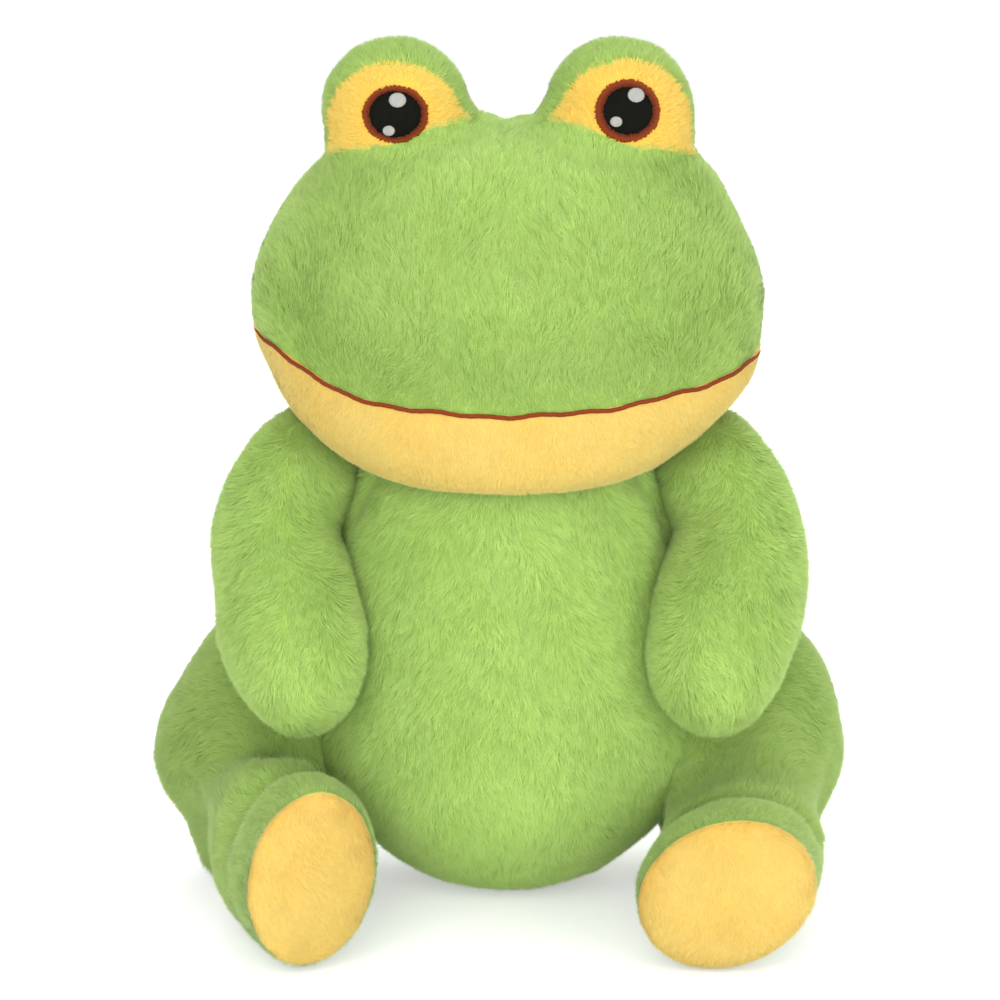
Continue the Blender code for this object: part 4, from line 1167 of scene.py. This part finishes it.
# Limbs
for i, (name, form) in enumerate(limbs.items()):
    kind, side_name = name.split("_")
    side = SIDES[side_name]
    cloth = form["places"]
    centres = cloth[form["faces"]].mean(1)
    outer = beyond(centres, *form["seam"]) > 0
    if kind == "arm":
        comb = comb_arm(side, form["tip"])
        values = values_for(cloth, [torso_tree, head_tree, limbs["leg_" + side_name]["tree"]])
        sole = np.zeros(len(outer), bool)
    else:
        comb = comb_leg(side, form["facing"])
        past = beyond(cloth, *form["sole"])
        values = values_for(cloth, [torso_tree, limbs["arm_" + side_name]["tree"]],
                            size=1 - 0.35 * smoothstep(-0.010, 0.0, past))
        # painted shade: the leg is drawn darker, and the thigh behind the foot more
        thigh = smoothstep(-0.078, -0.060, cloth[:, 1])
        values["painted_shading"] = np.maximum(values["painted_shading"], FOOT_PAINTED_SHADE + THIGH_PAINTED_SHADE[side_name] * thigh)
        sole = beyond(centres, *form["sole"]) > 0
    for layer, mask in (("outer", outer), ("inner", ~outer)):
        nodes = ["%s_%s_panel_%s" % (kind, layer, side_name)]
        if layer == "inner":
            nodes.append("%s_stuffing_%s" % (kind, side_name))
        panel("%s_%s_%s" % (kind, layer, side_name), name, nodes, GREEN, form,
              mask & ~sole & ~form["open"], values, comb, PILE,
              LIMB_SEED + 3 * i + (layer == "outer"), swirl=0.30)
    if kind == "leg":
        nap = values_for(cloth, [], size=1 - 0.3 * smoothstep(0.004, 0.0, past))
        panel("foot_sole_" + side_name, name, ["sole_" + side_name], YELLOW, form, sole, nap,
              comb_sole, NAP, SOLE_SEED + i, swirl=0.35)


# ---------------------------------------------------------------- neck filling
neck_top = NECK_PIVOT + NECK_BALL
neck_rows = [
    ring(Vector((0, 0, neck_top + height)), X_AXIS, Y_AXIS, share * NECK_PLUG, share * NECK_PLUG,
         12)
    for height, share in ((-0.0285, 0.60), (-0.028, 0.93), (-0.018, 1.0), (-0.008, 0.98),
                          (-0.0035, 0.86), (-0.0015, 0.5))]
places, faces = smooth_form(neck_rows, (0, 0, neck_top - 0.029), (0, 0, neck_top - 0.001), 3)
places = inset(places, faces, 0.0006 + 0.0004 * waves(places, 0.006, 3))
make_piece("neck_filling", "neck", ["neck_stuffing"], FIBRE, places, faces,
           vertex_normals(places, faces))


# ---------------------------------------------------------------- stitched pieces
def stitched(name, node, finish, places, faces, thread_uv):
    """A piece of thread from a grid of places, with its threads laid out in a UV map."""
    mesh = bpy.data.meshes.new(name)
    mesh.from_pydata([tuple(p) for p in places], [], faces)
    mesh.update()
    mesh.shade_smooth()
    uv = mesh.uv_layers.new(name="OFBake")
    laid = mesh.uv_layers.new(name="thread")
    index = np.zeros(len(mesh.loops), np.int32)
    mesh.loops.foreach_get("vertex_index", index)
    thread_uv = np.array(thread_uv)
    low, high = thread_uv.min(0), thread_uv.max(0)
    uv.data.foreach_set("uv", ((thread_uv - low) / (high - low) * 0.94 + 0.03)[index]
                        .astype(np.float32).ravel())
    laid.data.foreach_set("uv", thread_uv[index].astype(np.float32).ravel())
    placed(name, mesh, "head", [node], finish)


def grid_faces(rows, columns):
    """The faces of a grid of places whose rows are closed rings."""
    faces = []
    for i in range(rows - 1):
        for j in range(columns):
            k = (j + 1) % columns
            faces.append((i * columns + j, i * columns + k, (i + 1) * columns + k,
                          (i + 1) * columns + j))
    return faces


# Mouth line: a twisted cord of three lobes along the seam
rng = np.random.default_rng(THREAD_SEED)
mouth_normal = Vector(MOUTH_NORMAL)
ahead = Vector((0.0, -math.cos(slope), -math.sin(slope)))
line = []
for i in range(CORD_RAYS + 1):
    angle = math.radians(MOUTH_SWEEP) * (2 * i / CORD_RAYS - 1)
    direction = X_AXIS * math.sin(angle) + ahead * math.cos(angle)
    hit = head_tree.ray_cast(Vector(MOUTH_POINT), direction)[0]
    for _ in range(3):
        start = Vector(MOUTH_POINT) + Vector((0.0, 0.0, float(mouth_bend(hit.x))))
        hit, outward, _, _ = head_tree.ray_cast(start, direction)
    flat = (outward - mouth_normal * outward.dot(mouth_normal)).normalized()
    if flat.dot(direction) < 0:
        flat = -flat
    line.append(hit + flat * CORD_OUT)
line = np.array(line)
for _ in range(4):
    line[1:-1] = (line[:-2] + 2 * line[1:-1] + line[2:]) / 4
run = np.concatenate([[0], np.cumsum(lengths(np.diff(line, axis=0)))])
spots = np.linspace(0, run[-1], CORD_STEPS)
path = np.stack([np.interp(spots, run, line[:, k]) for k in range(3)], 1)
wander = 0.00035 * np.sin(spots / 0.0062) + 0.00030 * np.sin(spots / 0.0027 + 1.0)
path = path + np.array(mouth_normal) * wander[:, None]
tangent = unit(np.gradient(path, axis=0))
out = unit(np.cross(tangent, np.array(mouth_normal)))
out *= np.where(out[:, 1] > 0, -1, 1)[:, None]
up = np.cross(out, tangent)
taper = np.sqrt(np.clip(np.minimum(spots, run[-1] - spots) / CORD_END, 0.03, 1))
places, uvs = [], []
columns = CORD_COLUMNS
for i in range(CORD_STEPS):
    twist = spots[i] / CORD_PITCH * math.tau / 3
    for j in range(columns):
        angle = math.tau * j / columns
        lobes = abs(math.cos(1.5 * (angle - twist)))
        radius = (CORD_RADIUS + CORD_LOBE * lobes) * taper[i]
        places.append(path[i] + out[i] * radius * math.cos(angle) * 0.8
                      + up[i] * radius * math.sin(angle) * 1.15)
        uvs.append((spots[i] * 2100 + 2.0 * j / columns, j / columns))
faces = grid_faces(CORD_STEPS, columns)
faces.append(tuple(range(columns))[::-1])
faces.append(tuple((CORD_STEPS - 1) * columns + j for j in range(columns)))
stitched("mouth_stitching", "mouth_line", RUST, places, faces, uvs)


def on_ball(centre, look, radius, polar, turn, shape=(1.0, 1.0)):
    """A place on a ball, polar away from look and turned about it."""
    first = look.cross(UP).normalized()
    second = first.cross(look).normalized()
    across, high = math.cos(turn) * shape[0], math.sin(turn) * shape[1]
    polar *= math.hypot(across, high)
    aside = (first * across + second * high).normalized()
    return centre + (look * math.cos(polar) + aside * math.sin(polar)) * radius


def ring_shape(side_name, t):
    """The shape of the stitched ring, from its inner edge to its outer."""
    return [a + (b - a) * t for a, b in zip(PUPIL_SHAPE[side_name], EYE_SHAPE[side_name])]


for side_name, side in SIDES.items():
    centre = Vector(eye_centre(side))
    look = gaze(side_name)
    # iris: satin stitches across the ring, each a ridge with its own ends
    inner, outer = PUPIL - 0.0001, IRIS
    points = RING_THREADS * RING_POINTS
    ends = rng.normal(0, 0.00024, (RING_THREADS, 2))
    crown = 0.2 * rng.normal(size=RING_THREADS)
    places, uvs = [], []
    for j in range(RING_ROWS):
        t = j / (RING_ROWS - 1)
        for i in range(points):
            k, phase = divmod(i, RING_POINTS)
            turn = math.tau * (i + 0.35 * math.sin(k * 2.4)) / points
            start = inner + ends[k, 0] * (1 - t)
            stop = outer + ends[k, 1] * t
            radius = start + (stop - start) * t
            ridge = (0.35, 1.0, 1.0, 0.35)[phase] * (1 + 0.2 * crown[k])
            dome = math.sin(math.pi * t) ** 0.5
            high = 0.00005 + dome * 0.00048 + dome * 0.00012 * ridge
            places.append(on_ball(centre, look, EYE_RADIUS + 0.0002 + high,
                                  math.asin(radius / EYE_RADIUS), turn,
                                  ring_shape(side_name, t)))
            uvs.append((i / RING_POINTS, t))
    stitched("iris_stitching_" + side_name, "iris_ring_" + side_name, RING, places,
             grid_faces(RING_ROWS, points), uvs)
    # pupil and highlights: low domes of upright threads
    discs = [("pupil_stitching_" + side_name, "pupil_" + side_name, PUPIL + 0.0003, look, 0.0003,
              0.0004, BLACK, PUPIL_SHAPE[side_name], PUPIL_ROWS)]
    for label, radius in HIGHLIGHTS.items():
        right, high = HIGHLIGHT_PLACES[side_name][label]
        edge = math.asin(PUPIL / EYE_RADIUS)
        aim = gaze(side_name, side * right * edge, high * edge)
        discs.append(("glint_%s_%s" % (label, side_name), "highlight_%s_%s" % (label, side_name),
                      radius, aim, 0.0008, 0.0005, GREY, HIGHLIGHT_SHAPE, HIGHLIGHT_ROWS))
    for name, node, radius, aim, lift, crown_height, finish, shape, rows in discs:
        places, uvs = [], []
        columns = DISC_COLUMNS
        for j in range(rows + 1):
            t = (j + 0.02) / (rows + 0.02)
            for i in range(columns):
                turn = math.tau * i / columns
                ragged = 1 + 0.018 * math.sin(13 * turn + radius * 9e3) * t ** 6
                share = t * ragged
                x, y = share * math.cos(turn), share * math.sin(turn)
                polar = math.asin(min(radius * math.hypot(x, y) / EYE_RADIUS, 1.0))
                high = lift + crown_height * (1 - t ** 5) - 0.0005 * t ** 24
                places.append(on_ball(centre, aim, EYE_RADIUS + high, polar, turn, shape))
                uvs.append((x * radius * 2600, y * radius * 300))
        faces = grid_faces(rows + 1, columns)
        faces.append(tuple(range(columns))[::-1])
        stitched(name, node, finish, places, faces, uvs)


# ---------------------------------------------------------------- stage
mesh = bpy.data.meshes.new("floor")
half = FLOOR_HALF
mesh.from_pydata([(-half, -half, 0), (half, -half, 0), (half, half, 0), (-half, half, 0)], [],
                 [(0, 1, 2, 3)])
floor = add_object("floor", mesh)
material, tree, shader = new_material(
    "pale_floor", Roughness=0.9, Specular_IOR_Level=0.1, Base_Color=(0.93, 0.93, 0.93, 1.0),
    Emission_Color=(1.0, 1.0, 1.0, 1.0))
seen = add_node(tree, "ShaderNodeLightPath")
glow = add_node(tree, "ShaderNodeMath", operation="MULTIPLY")
glow.inputs[1].default_value = FLOOR_GLOW
link(tree, seen, "Is Camera Ray", glow, 0)
link(tree, glow, 0, shader, "Emission Strength")
mesh.materials.append(material)

for name, (place, aim, size, power) in LAMPS.items():
    lamp = bpy.data.lights.new(name, "AREA")
    lamp.shape, lamp.size, lamp.energy = "DISK", size, power
    thing = add_object(name, lamp)
    thing.location = place
    thing.rotation_euler = (Vector((0, 0, aim)) - Vector(place)).to_track_quat("-Z", "Y").to_euler()

# the world is plain white where the camera, a shine or a clear part shows it
world = bpy.data.worlds.new("studio")
scene.world = world
world.use_nodes = True
tree = world.node_tree
background = tree.nodes["Background"]
background.inputs["Color"].default_value = (1.0, 1.0, 1.0, 1.0)
seen = add_node(tree, "ShaderNodeLightPath")
plain = add_node(tree, "ShaderNodeMath", operation="MAXIMUM")
both = add_node(tree, "ShaderNodeMath", operation="MAXIMUM")
strength = add_node(tree, "ShaderNodeMapRange", **{"To Min": WORLD_STRENGTH, "To Max": 1.0})
link(tree, seen, "Is Camera Ray", plain, 0)
link(tree, seen, "Is Glossy Ray", plain, 1)
link(tree, plain, 0, both, 0)
link(tree, seen, "Is Transmission Ray", both, 1)
link(tree, both, 0, strength, "Value")
link(tree, strength, "Result", background, "Strength")

lens = bpy.data.cameras.new("camera")
camera = add_object("camera", lens)
scene.camera = camera
rise = math.radians(VIEW_RISE)
lens.sensor_width = SENSOR
lens.lens = SENSOR * VIEW_DISTANCE / VIEW_WIDTH
toward = Vector((0.0, -math.cos(rise), math.sin(rise)))
camera.location = Vector(VIEW_MIDDLE) + toward * VIEW_DISTANCE
camera.rotation_euler = (-toward).to_track_quat("-Z", "Y").to_euler()

scene.view_settings.view_transform = "Standard"
